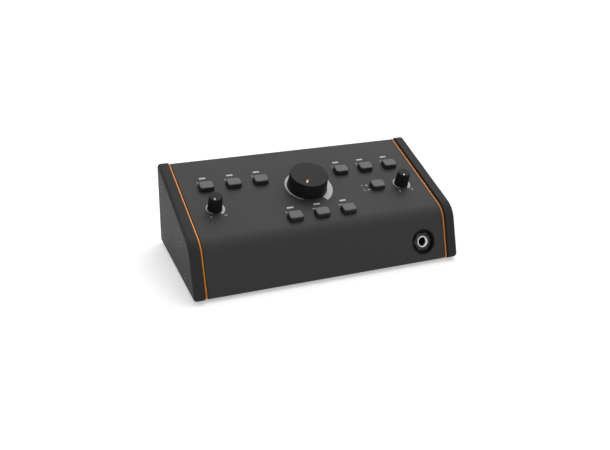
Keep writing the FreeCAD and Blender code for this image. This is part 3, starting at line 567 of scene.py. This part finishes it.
def repeated(name, master, places, slot_name, crease=32):
    """Copies of a master piece at (point, outward direction) pairs. The master is removed afterwards."""
    start = bpy.data.meshes.new(name + "_places")
    start.from_pydata([p for p, _ in places], [], [])
    start.attributes.new("outward", "FLOAT_VECTOR", "POINT").data.foreach_set(
        "vector", [c for _, way in places for c in way])
    made = grown(name, copies, {"Piece": master, "Size": 1.0, "Material": looks[slot_name].material}, start)
    bpy.data.objects.remove(master)
    made.data.set_sharp_from_angle(angle=math.radians(crease))
    return made


print("tree", copies.name, "nodes", len(copies.nodes))

# %% [markdown]
# ### The cheeks' screws
# The key's socket is 2.2 mm across its flats, and the head is 5.6 mm wide. The CAD screws say where
# each one goes: the end that faces outwards is the head's place.

# %% Cheek screws
HEAD = 2.8 * MM
KEY = 2.2 * MM


def sunk_screw():
    rings = [flats(KEY, -1.3 * MM, KEY, 24), flats(KEY, -0.12 * MM, KEY, 24),
             flats(KEY * 1.12, -0.05 * MM, KEY, 24)]
    rings += turned([(HEAD - 0.12 * MM, -0.05 * MM), (HEAD, -0.17 * MM), (1.5 * MM, -1.75 * MM),
                     (1.5 * MM, -14 * MM)], 24)
    return solid("screw_master", [stack(rings)], weighted=False)


screw_places = []
for low, high in map(box_of, solids_of("cheek_screws")):
    side = 1 if low.x > 0 else -1
    end = high.x if side > 0 else low.x
    screw_places.append((Vector((end, (low.y + high.y) / 2, (low.z + high.z) / 2)), (side, 0, 0)))
screws = repeated("countersunk_screws", sunk_screw(), screw_places, "black_steel")
fit(screws, "case", "black_steel", "cheek_screws")

# %% [markdown]
# ## Cheeks
# The cheeks are thick plates with a fully rounded outer edge, so the light slides round them. The
# outline is stacked from the inner face to the outer face, and shrinks along a quarter circle at the
# end. A Boolean modifier with the screws' cones as its cutter sinks the four holes.

# %% Cheeks
PROUD = 1.75 * MM
EDGE = 2.8 * MM
BEND = 19.0 * MM


def make_cheek(name, side):
    low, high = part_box(name)
    inner, outer = (low.x, high.x) if side > 0 else (high.x, low.x)
    moves = [0, PROUD, PROUD, 0]
    radii = [4 * MM, 4 * MM, BEND + PROUD, 4 * MM]
    levels = [(inner, 0.35 * MM), (inner + side * 0.1 * MM, 0.1 * MM), (inner + side * 0.35 * MM, 0.0)]
    for n in range(9):
        a = math.pi / 2 * n / 8
        levels.append((outer - side * EDGE * (1 - math.sin(a)), EDGE * (1 - math.cos(a))))
    rings = [side_ring(x, moves, radii, inset) for x, inset in levels]
    made = solid(name + "_shell", [stack(rings)], crease=30, weighted=False)
    holes = []
    for place, way in screw_places:
        if way[0] == side:
            cone = [circle(0.6 * MM + HEAD, 0.5 * MM, 32), circle(HEAD + 0.1 * MM, 0.0, 32),
                    circle(1.6 * MM, -1.7 * MM, 32), circle(1.6 * MM, -12 * MM, 32)]
            holes.append(solid("hole", [stack(cone)], face(place, (0, 1, 0), way), weighted=False))
    for hole in holes:
        cut = made.modifiers.new("hole", "BOOLEAN")
        cut.object = hole
        cut.solver = "EXACT"
    mesh = evaluated(made)
    made.modifiers.clear()
    made.data = mesh
    for hole in holes:
        bpy.data.objects.remove(hole)
    mesh.set_sharp_from_angle(angle=math.radians(30))
    even = made.modifiers.new("even_faces", "WEIGHTED_NORMAL")
    even.keep_sharp = True
    return fit(made, "case", "cheek_black", name)


make_cheek("left_cheek", -1)
make_cheek("right_cheek", 1)

# %% [markdown]
# ## Trim strips
# An orange strip shows in the groove beside each cheek. It is the rim of an end plate, and its face is
# half round, which is why it catches a bright line. Its lower end stops short of the floor, so the
# groove shows dark there.

# %% Trim strips
SINK = 0.4 * MM
RIM = 0.8 * MM
WEB = 2.2 * MM
LIFT = 1.8 * MM


def make_trim(name, side):
    low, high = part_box(name)
    middle = (low.x + high.x) / 2
    radii = [1.0 * MM, 1.0 * MM, BEND - SINK, 1.0 * MM]
    web = [side_ring(x, [-0.3 * MM, -WEB, -WEB, -WEB], radii, 0, 12) for x in (low.x, high.x)]
    rim = []
    for n in range(17):
        a = math.pi * n / 16
        rim.append(side_ring(middle - side * RIM * math.cos(a), [-LIFT, -SINK, -SINK, -SINK], radii,
                             RIM * (1 - math.sin(a)), 12))
    return fit(solid(name + "_strip", [stack(web), stack(rim)], crease=40), "case", "trim_orange", name)


make_trim("left_trim_plate", -1)
make_trim("right_trim_plate", 1)

# %% [markdown]
# ## The volume knob
# A large drafted knob of smooth black plastic, turned up from one profile. The rim at the top is
# lightly rounded, and the top is dished by a tenth of a millimetre, as moulded tops are. The pointer
# is a short inlaid bar.

# %% Volume knob
GAP = 0.9 * MM
LOW_END = math.radians(240)
SWEEP = math.radians(300)
volume_top = crowns("volume_knob", panel)[0].z
wide, narrow = 17.6 * MM, 16.7 * MM
profile = [(0.01 * MM, 5.9 * MM), (10.5 * MM, 5.9 * MM), (10.5 * MM, GAP)]
profile += [(wide - 0.3 * MM, GAP), (wide, GAP + 0.3 * MM)]
profile += edge_round(narrow, volume_top, 0.55 * MM)
profile += [(narrow - 1.1 * MM, volume_top - 0.03 * MM), (8 * MM, volume_top - 0.08 * MM)]
profile += [(0.01 * MM, volume_top - 0.1 * MM)]
knob = solid("volume_knob_turned", [stack(turned(profile, 128))], panel, crease=40)
fit(knob, "volume_control", "knob_black", "volume_knob")


def pointer(name, inner, outer, width, centre, top, body, slot_name, replaced):
    """A bar with round ends, inlaid in a knob's top."""
    length = outer - inner
    rings = [block_ring(length, width, width * 0.45, h) for h in (-0.5 * MM, 0.0)]
    rings.append(block_ring(length - 0.16 * MM, width - 0.16 * MM, width * 0.4, 0.05 * MM))
    lay = spot(panel, centre, top) @ Matrix.Rotation(LOW_END, 4, "Z")
    lay = lay @ Matrix.Translation(((inner + outer) / 2, 0, 0))
    return fit(solid(name, [stack(rings)], lay), body, slot_name, replaced)


pointer("volume_pointer_bar", 8.2 * MM, 12.4 * MM, 1.5 * MM, (0, 0), volume_top - 0.07 * MM, "volume_control",
        "pointer_orange", "volume_pointer")

# %% [markdown]
# ## Fluted knobs
# The two small knobs have eighteen grooves, which fade out under the rounded top. The shape follows a
# rule, so Geometry Nodes make it: a cylinder's points are moved in or out by a cosine of their angle,
# and by a curve of their height. Changing the number of flutes is then one input.

# %% A tree for a fluted knob
fluted, given, result = tree_of("fluted_knob", Foot_radius="Float", Top_radius="Float", Height="Float",
                                Flutes="Float", Depth="Float")
tube = node(fluted, "GeometryNodeMeshCylinder", {"fill_type": "TRIANGLE_FAN"}, Vertices=180, Radius=1.0,
            Depth=1.0)
tube.inputs["Side Segments"].default_value = 36
tube.inputs["Fill Segments"].default_value = 8
where = node(fluted, "ShaderNodeSeparateXYZ", Vector=node(fluted, "GeometryNodeInputPosition").outputs[0])
up = sum_of(fluted, "ADD", where.outputs[2], 0.5)
angle = sum_of(fluted, "ARCTAN2", where.outputs[1], where.outputs[0])
wave = sum_of(fluted, "COSINE", times(fluted, angle, given["Flutes"]))
groove = sum_of(fluted, "POWER", times(fluted, sum_of(fluted, "ADD", wave, 1.0), 0.5), 1.5)
fade = node(fluted, "ShaderNodeMapRange", {"interpolation_type": "SMOOTHSTEP"}, Value=up)
wire(fluted, fade, i1=0.86, i2=0.97, i3=1.0, i4=0.0)
taper = node(fluted, "ShaderNodeMapRange", Value=up, i3=given["Foot radius"], i4=given["Top radius"])
shoulder = node(fluted, "ShaderNodeMapRange", Value=up)
wire(fluted, shoulder, i1=0.93, i2=1.0, i3=0.0, i4=1.0)
squared = times(fluted, shoulder.outputs[0], shoulder.outputs[0])
rest = sum_of(fluted, "SUBTRACT", 1.0, times(fluted, squared, 0.98))
drop = sum_of(fluted, "SUBTRACT", 1.0, sum_of(fluted, "SQRT", rest))
inward = times(fluted, times(fluted, groove, fade.outputs[0]), given["Depth"])
reach = sum_of(fluted, "SUBTRACT", sum_of(fluted, "SUBTRACT", taper.outputs[0], inward),
               times(fluted, drop, 0.8 * MM))
moved = node(fluted, "ShaderNodeCombineXYZ", X=times(fluted, where.outputs[0], reach),
             Y=times(fluted, where.outputs[1], reach),
             Z=times(fluted, up, given["Height"]))
shaped = node(fluted, "GeometryNodeSetPosition", Geometry=tube.outputs["Mesh"], Position=moved.outputs[0])
close_tree(fluted, given, result, shaped.outputs[0])
for name in ("source_level", "phones_level"):
    place = crowns(name + "_knob", panel)[0]
    made = grown(name + "_fluted_knob", fluted, {
        "Foot radius": 6.3 * MM, "Top radius": 5.6 * MM, "Height": place.z - GAP, "Flutes": 18.0,
        "Depth": 0.5 * MM, "Material": looks["knob_black"].material})
    made.data.transform(spot(panel, place, GAP))
    shaded(made.data, 50)
    fit(made, name + "_control", "knob_black", name + "_knob")
    pointer(name + "_pointer_bar", 2.6 * MM, 4.7 * MM, 1.1 * MM, place.xy, place.z - 0.02 * MM,
            name + "_control", "pointer_white", name + "_pointer")

# %% [markdown]
# ## Push buttons
# Ten soft-edged caps. Each is a rounded block that narrows slightly as it rises, then turns over a
# small radius into a faintly crowned top. The same function makes them all, in the places and at the
# height that the CAD caps give.

# %% Buttons
CAP_WIDTH = 13 * MM
CAP_LENGTH = 10 * MM
CAP_CORNER = 2.5 * MM


def cap_rings(width, length, corner, top):
    rings = [block_ring(width, length, corner, -1.8 * MM), block_ring(width, length, corner, 0.4 * MM)]
    draft, edge = 0.45 * MM, 1.0 * MM
    for n in range(7):
        a = math.pi / 2 * n / 6
        inset = draft + edge * (1 - math.cos(a))
        rings.append(block_ring(width - 2 * inset, length - 2 * inset, max(corner - inset * 0.6, 0.5 * MM),
                                top - 0.08 * MM - edge * (1 - math.sin(a))))
    for share, rise in ((0.8, -0.04), (0.45, -0.01), (0.1, 0.0)):
        rings.append(block_ring((width - 2.9 * MM) * share, (length - 2.9 * MM) * share, 1.5 * MM * share,
                                top + rise * MM))
    return rings


for name in sorted(n for n in frame["nodes"] if n.startswith("button_")):
    place = crowns(name, panel)[0]
    rings = cap_rings(CAP_WIDTH, CAP_LENGTH, CAP_CORNER, place.z)
    cap = solid(name + "_cap", [stack(rings)], spot(panel, place))
    fit(cap, body_of[name], "cap_grey", name)

# %% [markdown]
# ## Light windows
# Nine small frosted bars stand a hair proud of the panel above the buttons. They are copies of one
# bar with rounded edges, set in place by the same tree as the screws.

# %% Light windows
def window_bar():
    rings = [block_ring(5.9 * MM, 1.9 * MM, 0.3 * MM, -6 * MM, 3),
             block_ring(5.9 * MM, 1.9 * MM, 0.3 * MM, -0.1 * MM, 3),
             block_ring(5.7 * MM, 1.7 * MM, 0.25 * MM, 0.0, 3)]
    return solid("window_master", [stack(rings)], weighted=False)


windows = [(panel @ p, panel_out) for p in crowns("light_pipes", panel)]
made = repeated("light_window_bars", window_bar(), windows, "light_window")
fit(made, "case", "light_window", "light_pipes")

# %% [markdown]
# ## Printed marks
# The panel is screen printed in light grey. Round each knob runs a scale that swells from a hairline
# at the low end to a broad end at full. Geometry Nodes bend a long thin box into that arc, so it is a
# closed layer of ink. The rest of the print is plain numerals, a triangle, dots and a bar.

# %% Scale arcs
arc, given, result = tree_of("scale_arc", Inner="Float", Outer_start="Float", Outer_end="Float",
                             Start="Float", Sweep="Float", Ink="Float")
strip = node(arc, "GeometryNodeMeshCube", Size=(1, 1, 1))
strip.inputs["Vertices X"].default_value = 121
where = node(arc, "ShaderNodeSeparateXYZ", Vector=node(arc, "GeometryNodeInputPosition").outputs[0])
along = sum_of(arc, "ADD", where.outputs[0], 0.5)
across = sum_of(arc, "ADD", where.outputs[1], 0.5)
outer_here = node(arc, "ShaderNodeMapRange", Value=along, i3=given["Outer start"], i4=given["Outer end"])
radius_here = node(arc, "ShaderNodeMapRange", Value=across, i3=given["Inner"],
                   i4=outer_here.outputs[0]).outputs[0]
angle = sum_of(arc, "SUBTRACT", given["Start"], times(arc, along, given["Sweep"]))
bent = node(arc, "ShaderNodeCombineXYZ", X=times(arc, radius_here, sum_of(arc, "COSINE", angle)),
            Y=times(arc, radius_here, sum_of(arc, "SINE", angle)),
            Z=times(arc, sum_of(arc, "ADD", where.outputs[2], 0.5), given["Ink"]))
shaped = node(arc, "GeometryNodeSetPosition", Geometry=strip.outputs["Mesh"], Position=bent.outputs[0])
close_tree(arc, given, result, shaped.outputs[0])
INK = 0.04 * MM
MARK_LEFT = 5.2 * MM
MARK_UP = 7.9 * MM
DOT_PITCH = 1.6 * MM
arcs = (("volume", (0, 0), 18.0, 18.5, 23.6),
        ("source_level", crowns("source_level_knob", panel)[0], 6.5, 6.9, 8.9),
        ("phones_level", crowns("phones_level_knob", panel)[0], 6.5, 6.9, 8.9))
for name, place, inner, start, end in arcs:
    made = grown(name + "_scale", arc, {
        "Inner": inner * MM, "Outer start": start * MM, "Outer end": end * MM, "Start": LOW_END,
        "Sweep": SWEEP, "Ink": INK, "Material": looks["print_grey"].material})
    made.data.transform(spot(panel, place))
    fit(merged(made), "case", "print_grey")

# %% [markdown]
# ### Numerals and marks
# The buttons are marked with plain figures, dots, a triangle and a bar, and each small scale has its 0
# and its 10. The figures come from the font's outlines, so they are layers of ink like the arcs.

# %% Numerals and marks
def numeral(text, place, size, name):
    """Plain figures, made from Blender's own font, as a thin layer of ink."""
    curve = bpy.data.curves.new(name, "FONT")
    curve.body = text
    curve.size = size
    curve.align_x = "CENTER"
    curve.align_y = "CENTER"
    curve.extrude = INK / 2
    shape = added(name + "_text", curve)
    bpy.context.view_layer.update()
    mesh = evaluated(shape)
    bpy.data.objects.remove(shape)
    mesh.transform(spot(panel, place, INK / 2))
    return fit(added(name, mesh), "case", "print_grey")


button_at = {n: crowns(n, panel)[0] for n in frame["nodes"] if n.startswith("button_")}
for group in ("source", "speaker"):
    for k in (1, 2, 3):
        at = button_at["button_%s_%d" % (group, k)]
        numeral(str(k), (at.x - MARK_LEFT, at.y + MARK_UP), 3.4 * MM, "%s_figure_%d" % (group, k))
for name in ("source_level", "phones_level"):
    at = crowns(name + "_knob", panel)[0]
    for text, aside in (("0", -5.5 * MM), ("10", 6.6 * MM)):
        numeral(text, (at.x + aside, at.y - 9.6 * MM), 3.0 * MM, "%s_end_%s" % (name, text))


def mark(ring, place):
    """A flat mark with one outline, as a thin closed layer."""
    lay = Matrix.Translation((place[0], place[1], 0))
    return stack([[lay @ Vector((p.x, p.y, h)) for p in ring] for h in (0.0, INK)])


marks = []
for k, name in enumerate(("button_mono", "button_dim", "button_mute")):
    at = button_at[name]
    for n in range(k + 1):
        marks.append(mark(circle(0.55 * MM, 0, 20), (at.x - MARK_LEFT + n * DOT_PITCH, at.y + MARK_UP)))
at = button_at["button_phones"]
for rise, ring in ((3.4, circle(1.3 * MM, 0, 3)), (-2.7, block_ring(3.0 * MM, 0.7 * MM, 0.2 * MM, 0, 2))):
    marks.append(mark(ring, (at.x - 9.2 * MM, at.y + rise * MM)))
for rise, text in ((3.6, "1"), (-2.6, "2")):
    numeral(text, (at.x - 13.5 * MM, at.y + rise * MM), 3.4 * MM, "select_figure_" + text)
fit(solid("printed_marks", marks, panel, weighted=False), "case", "print_grey")

# %% [markdown]
# ## The headphone socket
# A black dish is let into the front, with a dark six-sided nut on its floor and the bright ring of the
# socket in the middle. Dish and ring are turned profiles that close on themselves, because both have
# a hole. The nut's corners are cut back by a cone, as on every real nut.

# %% Dish, nut and ring
dish = [(5.15, -5.1), (11.5, -5.1), (11.5, -0.1), (11.35, 0.08), (10.9, 0.1), (10.5, -0.05), (10.3, -0.5),
        (9.9, -3.2), (9.6, -3.75), (9.0, -4.0), (5.15, -4.0)]
made = solid("socket_dish", [lathe(dish, 96, True)], front, crease=35)
fit(made, "case", "moulded_black", "phones_cup")


def nut_rings(across, height, bore, lift=0.0):
    """A six-sided nut with both faces chamfered by a cone."""
    face_radius = across / 2 * 0.985
    cone = 0.4 * MM
    outline = [flats(across, lift, face_radius), flats(across, lift + cone, across),
               flats(across, lift + height - cone, across), flats(across, lift + height, face_radius)]
    inside = [circle(bore + 0.25 * MM, lift + height), circle(bore, lift + height - 0.25 * MM),
              circle(bore, lift)]
    return outline + inside


dish_nut = stack(nut_rings(15 * MM, 2.1 * MM, 5.15 * MM, -4.0 * MM), True)
made = solid("socket_nut", [dish_nut], front, crease=25)
fit(made, "case", "blackened_steel", "phones_nut")
ring = [(5.0, -9.1), (5.0, -1.75), (4.9, -1.42), (4.7, -1.3), (4.25, -1.34), (3.95, -1.7), (3.5, -2.9),
        (3.3, -3.4), (3.3, -9.1)]
ring_parts = [lathe(ring, 96, True)]

# %% [markdown]
# ## Threads
# Sockets are clamped by nuts on a threaded nose. A thread is a ridge that follows a helix, so a
# Geometry Nodes tree sweeps a three-sided profile along a spiral curve. The same tree serves the
# bright ring in front and the noses of the sockets at the rear, with other radii and lengths.

# %% A tree for threads
thread, given, result = tree_of("thread", Radius="Float", Ridge="Float", Turns="Float", Length="Float")
spiral = node(thread, "GeometryNodeCurveSpiral", Resolution=28, Rotations=given["Turns"],
              Height=given["Length"])
for end in ("Start Radius", "End Radius"):
    thread.links.new(given["Radius"], spiral.inputs[end])
ridge = node(thread, "GeometryNodeCurvePrimitiveCircle", Resolution=4, Radius=given["Ridge"])
swept = node(thread, "GeometryNodeCurveToMesh", Curve=spiral.outputs[0], i1=ridge.outputs[0])
swept.inputs["Fill Caps"].default_value = True
close_tree(thread, given, result, swept.outputs[0])


def threaded(name, radius, length, pitch, slot_name, parts, lift):
    """A turned part with a thread round it, as one mesh drawn in its face's own measure."""
    helix = grown(name + "_thread", thread, {
        "Radius": radius - 0.12 * MM, "Ridge": 0.18 * MM, "Turns": length / pitch, "Length": length,
        "Material": looks[slot_name].material})
    helix.data.transform(Matrix.Translation((0, 0, lift)))
    body = merged(solid(name, parts, weighted=False), helix)
    shaded(body.data, 32)
    return body


bush = threaded("socket_ring", 5.12 * MM, 1.6 * MM, 0.5 * MM, "bright_chrome", ring_parts, -3.6 * MM)
bush.data.transform(front)
fit(bush, "case", "bright_chrome", "phones_bush")

# %% [markdown]
# ## The rear
# Behind the rear wall stand ten large sockets in a row, each a moulded box with a threaded nose, then
# a small socket, the power inlet and the power button. One socket is drawn with its deep bore and
# repeated. Nuts are bright zinc.

# %% Large sockets and nuts
def jack_rings():
    """One skin from the bottom of the bore, out over the nose's lip and down to the box behind."""
    profile = [(3.3, -24), (3.3, 3.2), (3.5, 3.5), (4.1, 3.5), (4.3, 3.3), (4.3, -1.5)]
    box = [block_ring(13 * MM, 13 * MM, 0.6 * MM, h * MM) for h in (-1.5, -27.5)]
    return turned([(r * MM, h * MM) for r, h in profile], 32) + box


def on_rear(tops):
    """Places on the rear wall, below the middles of outermost faces."""
    return [(rear @ Vector((p.x, p.y, 0)), (0, 1, 0)) for p in tops]


nut_tops = [p for p in crowns("jack_nuts", rear) if p.z > 2 * MM]
for node_name in ("speaker_output_jacks", "source_input_jacks"):
    places = on_rear(crowns(node_name, rear))
    master = threaded("jack_master", 4.45 * MM, 3.2 * MM, 0.6 * MM, "moulded_black", [stack(jack_rings())],
                      0.1 * MM)
    made = repeated(node_name + "_moulded", master, places, "moulded_black")
    fit(made, "case", "moulded_black", node_name)
    print(node_name, len(places))
master = solid("nut_master", [stack(nut_rings(12 * MM, 2.3 * MM, 4.5 * MM), True)], weighted=False, crease=25)
nuts = repeated("socket_nuts", master, on_rear(nut_tops), "zinc_steel", crease=25)

# %% [markdown]
# ### Small socket and power button
# The small socket has a round collar where the large ones have a nut. The collar joins the nuts' mesh,
# because one CAD node holds them all. The power button is a turned plunger, and the power inlet keeps
# its CAD shape.

# %% Small socket and power button
aux_place = crowns("aux_jack", rear)[0]
collar = [(3.0, 0.0), (4.1, 0.0), (4.3, 0.2), (4.3, 1.35), (4.05, 1.6), (3.1, 1.6), (3.0, 1.45)]
small = solid("small_collar", [lathe(collar, 48, True)], spot(rear, aux_place), crease=30)
shaded(merged(nuts, small).data, 25)
fit(nuts, "case", "zinc_steel", "jack_nuts")
profile = [(1.8, -11.4), (1.8, 2.3), (2.0, 2.5), (2.7, 2.5), (2.9, 2.3), (2.9, -1.5)]
rings = turned([(r * MM, h * MM) for r, h in profile], 32)
rings += [block_ring(9 * MM, 7 * MM, 0.5 * MM, h * MM) for h in (-1.5, -15.5)]
small_socket = threaded("small_socket", 2.95 * MM, 2.2 * MM, 0.5 * MM, "moulded_black", [stack(rings)],
                        0.1 * MM)
small_socket.data.transform(spot(rear, aux_place))
fit(small_socket, "case", "moulded_black", "aux_jack")
power_place = crowns("power_button", rear)[0]
push = [(0.01, -1.8), (3.6, -1.8), (3.6, 4.2), (3.5, 4.6), (3.2, 4.9), (2.9, 5.0), (1.5, 4.92), (0.01, 4.9)]
made = solid("power_push_cap", [lathe(push, 64)], spot(rear, power_place), crease=40)
# The caps' finish paints shade by each face's direction against the sloping panel, so this cap's tone follows
# which way its faces turn.
fit(made, "power_push", "cap_grey", "power_button")

# %% [markdown]
# ## Feet and case screws
# Four rubber feet carry the case. Each is slightly tapered, with a soft lower edge and a shallow dish
# that grips the table. Six button-headed screws close the case below and behind.

# %% Feet and case screws
foot_places = []
for low, high in map(box_of, solids_of("rubber_feet")):
    foot_places.append((Vector(((low.x + high.x) / 2, (low.y + high.y) / 2, high.z)), (0, 0, -1)))
foot = [(0.01, 0.0), (6.0, 0.0), (6.0, 0.3), (5.55, 2.7), (5.4, 3.1), (5.05, 3.3), (3.6, 3.3), (3.3, 3.1),
        (0.01, 2.9)]
master = solid("foot_master", [lathe(foot, 48)], weighted=False)
fit(repeated("turned_feet", master, foot_places, "foot_rubber"), "case", "foot_rubber", "rubber_feet")


def round_screw():
    rings = [flats(2.0 * MM, 0.25 * MM, 2 * MM, 24), flats(2.0 * MM, 1.05 * MM, 2 * MM, 24)]
    dome = [(1.5, 1.1), (2.1, 1.0), (2.55, 0.72), (2.78, 0.35), (2.8, 0.0), (1.5, 0.0), (1.5, -4.0)]
    rings += turned([(r * MM, h * MM) for r, h in dome], 24)
    return solid("screw_master", [stack(rings)], weighted=False)


REAR_HALF = 0.04
case_places = []
for low, high in map(box_of, solids_of("case_screws")):
    middle = (low + high) / 2
    if high.y - low.y > high.z - low.z - 1e-4 and middle.y > REAR_HALF:
        case_places.append((Vector((middle.x, high.y - 1.1 * MM, middle.z)), (0, 1, 0)))
    else:
        case_places.append((Vector((middle.x, middle.y, low.z + 1.1 * MM)), (0, 0, -1)))
made = repeated("button_head_screws", round_screw(), case_places, "black_steel")
fit(made, "case", "black_steel", "case_screws")

# %% [markdown]
# ## Floor, light and background
# The product stands on a white sweep. The lamps give the object an even, plain light, and the white of
# the background comes from colour: the world is white where the camera or a reflection sees it, and
# dimmer as a light. The floor keeps the object's shadow, and a little of its own glow lifts the rest
# to white for the camera.

# %% Floor, world and lamps
GLOW = 0.42
SKY = 0.55
corners = [Vector(c) for c in ((-6, -6, 0), (6, -6, 0), (6, 9, 0), (-6, 9, 0))]
floor = solid("floor", [(corners, [(0, 1, 2, 3)])], weighted=False)
if floor.data.polygons[0].normal.z < 0:
    floor.data.flip_normals()
paper = bpy.data.materials.new("white_sweep")
paper.use_nodes = True
tree = paper.node_tree
shader = tree.nodes["Principled BSDF"]
shader.inputs["Base Color"].default_value = grey(0.8)
shader.inputs["Roughness"].default_value = 0.9
shader.inputs["Specular IOR Level"].default_value = 0.0
seen = node(tree, "ShaderNodeLightPath").outputs
watched = sum_of(tree, "MAXIMUM", seen["Is Camera Ray"], seen["Is Glossy Ray"])
glow = times(tree, watched, GLOW)
shader.inputs["Emission Color"].default_value = grey(1.0)
tree.links.new(glow, shader.inputs["Emission Strength"])
floor.data.materials.append(paper)
world = bpy.data.worlds.new("studio")
scene.world = world
world.use_nodes = True
tree = world.node_tree
tree.nodes.clear()
seen = node(tree, "ShaderNodeLightPath").outputs
watched = sum_of(tree, "MAXIMUM", sum_of(tree, "MAXIMUM", seen["Is Camera Ray"], seen["Is Glossy Ray"]),
                 seen["Is Transmission Ray"])
dim = node(tree, "ShaderNodeBackground", Color=grey(1.0), Strength=SKY)
white = node(tree, "ShaderNodeBackground", Color=grey(1.0), Strength=1.0)
both = node(tree, "ShaderNodeMixShader", i0=watched, i1=dim.outputs[0], i2=white.outputs[0])
node(tree, "ShaderNodeOutputWorld", Surface=both.outputs[0])


def lamp(name, kind, place, target, energy, **settings):
    data = bpy.data.lights.new(name, kind)
    data.energy = energy
    for key, value in settings.items():
        setattr(data, key, value)
    made = added(name, data)
    made.location = place
    made.rotation_euler = (Vector(target) - Vector(place)).to_track_quat("-Z", "Y").to_euler()
    return made


lamp("top_box", "AREA", (0.25, 0.55, 1.15), (0, 0, 0.03), 5.0, shape="RECTANGLE", size=1.3, size_y=0.8)
lamp("key", "SUN", (0.5, 0.3, 1.2), (0, 0, 0), 0.85, angle=math.radians(50))
scene.view_settings.view_transform = "Standard"
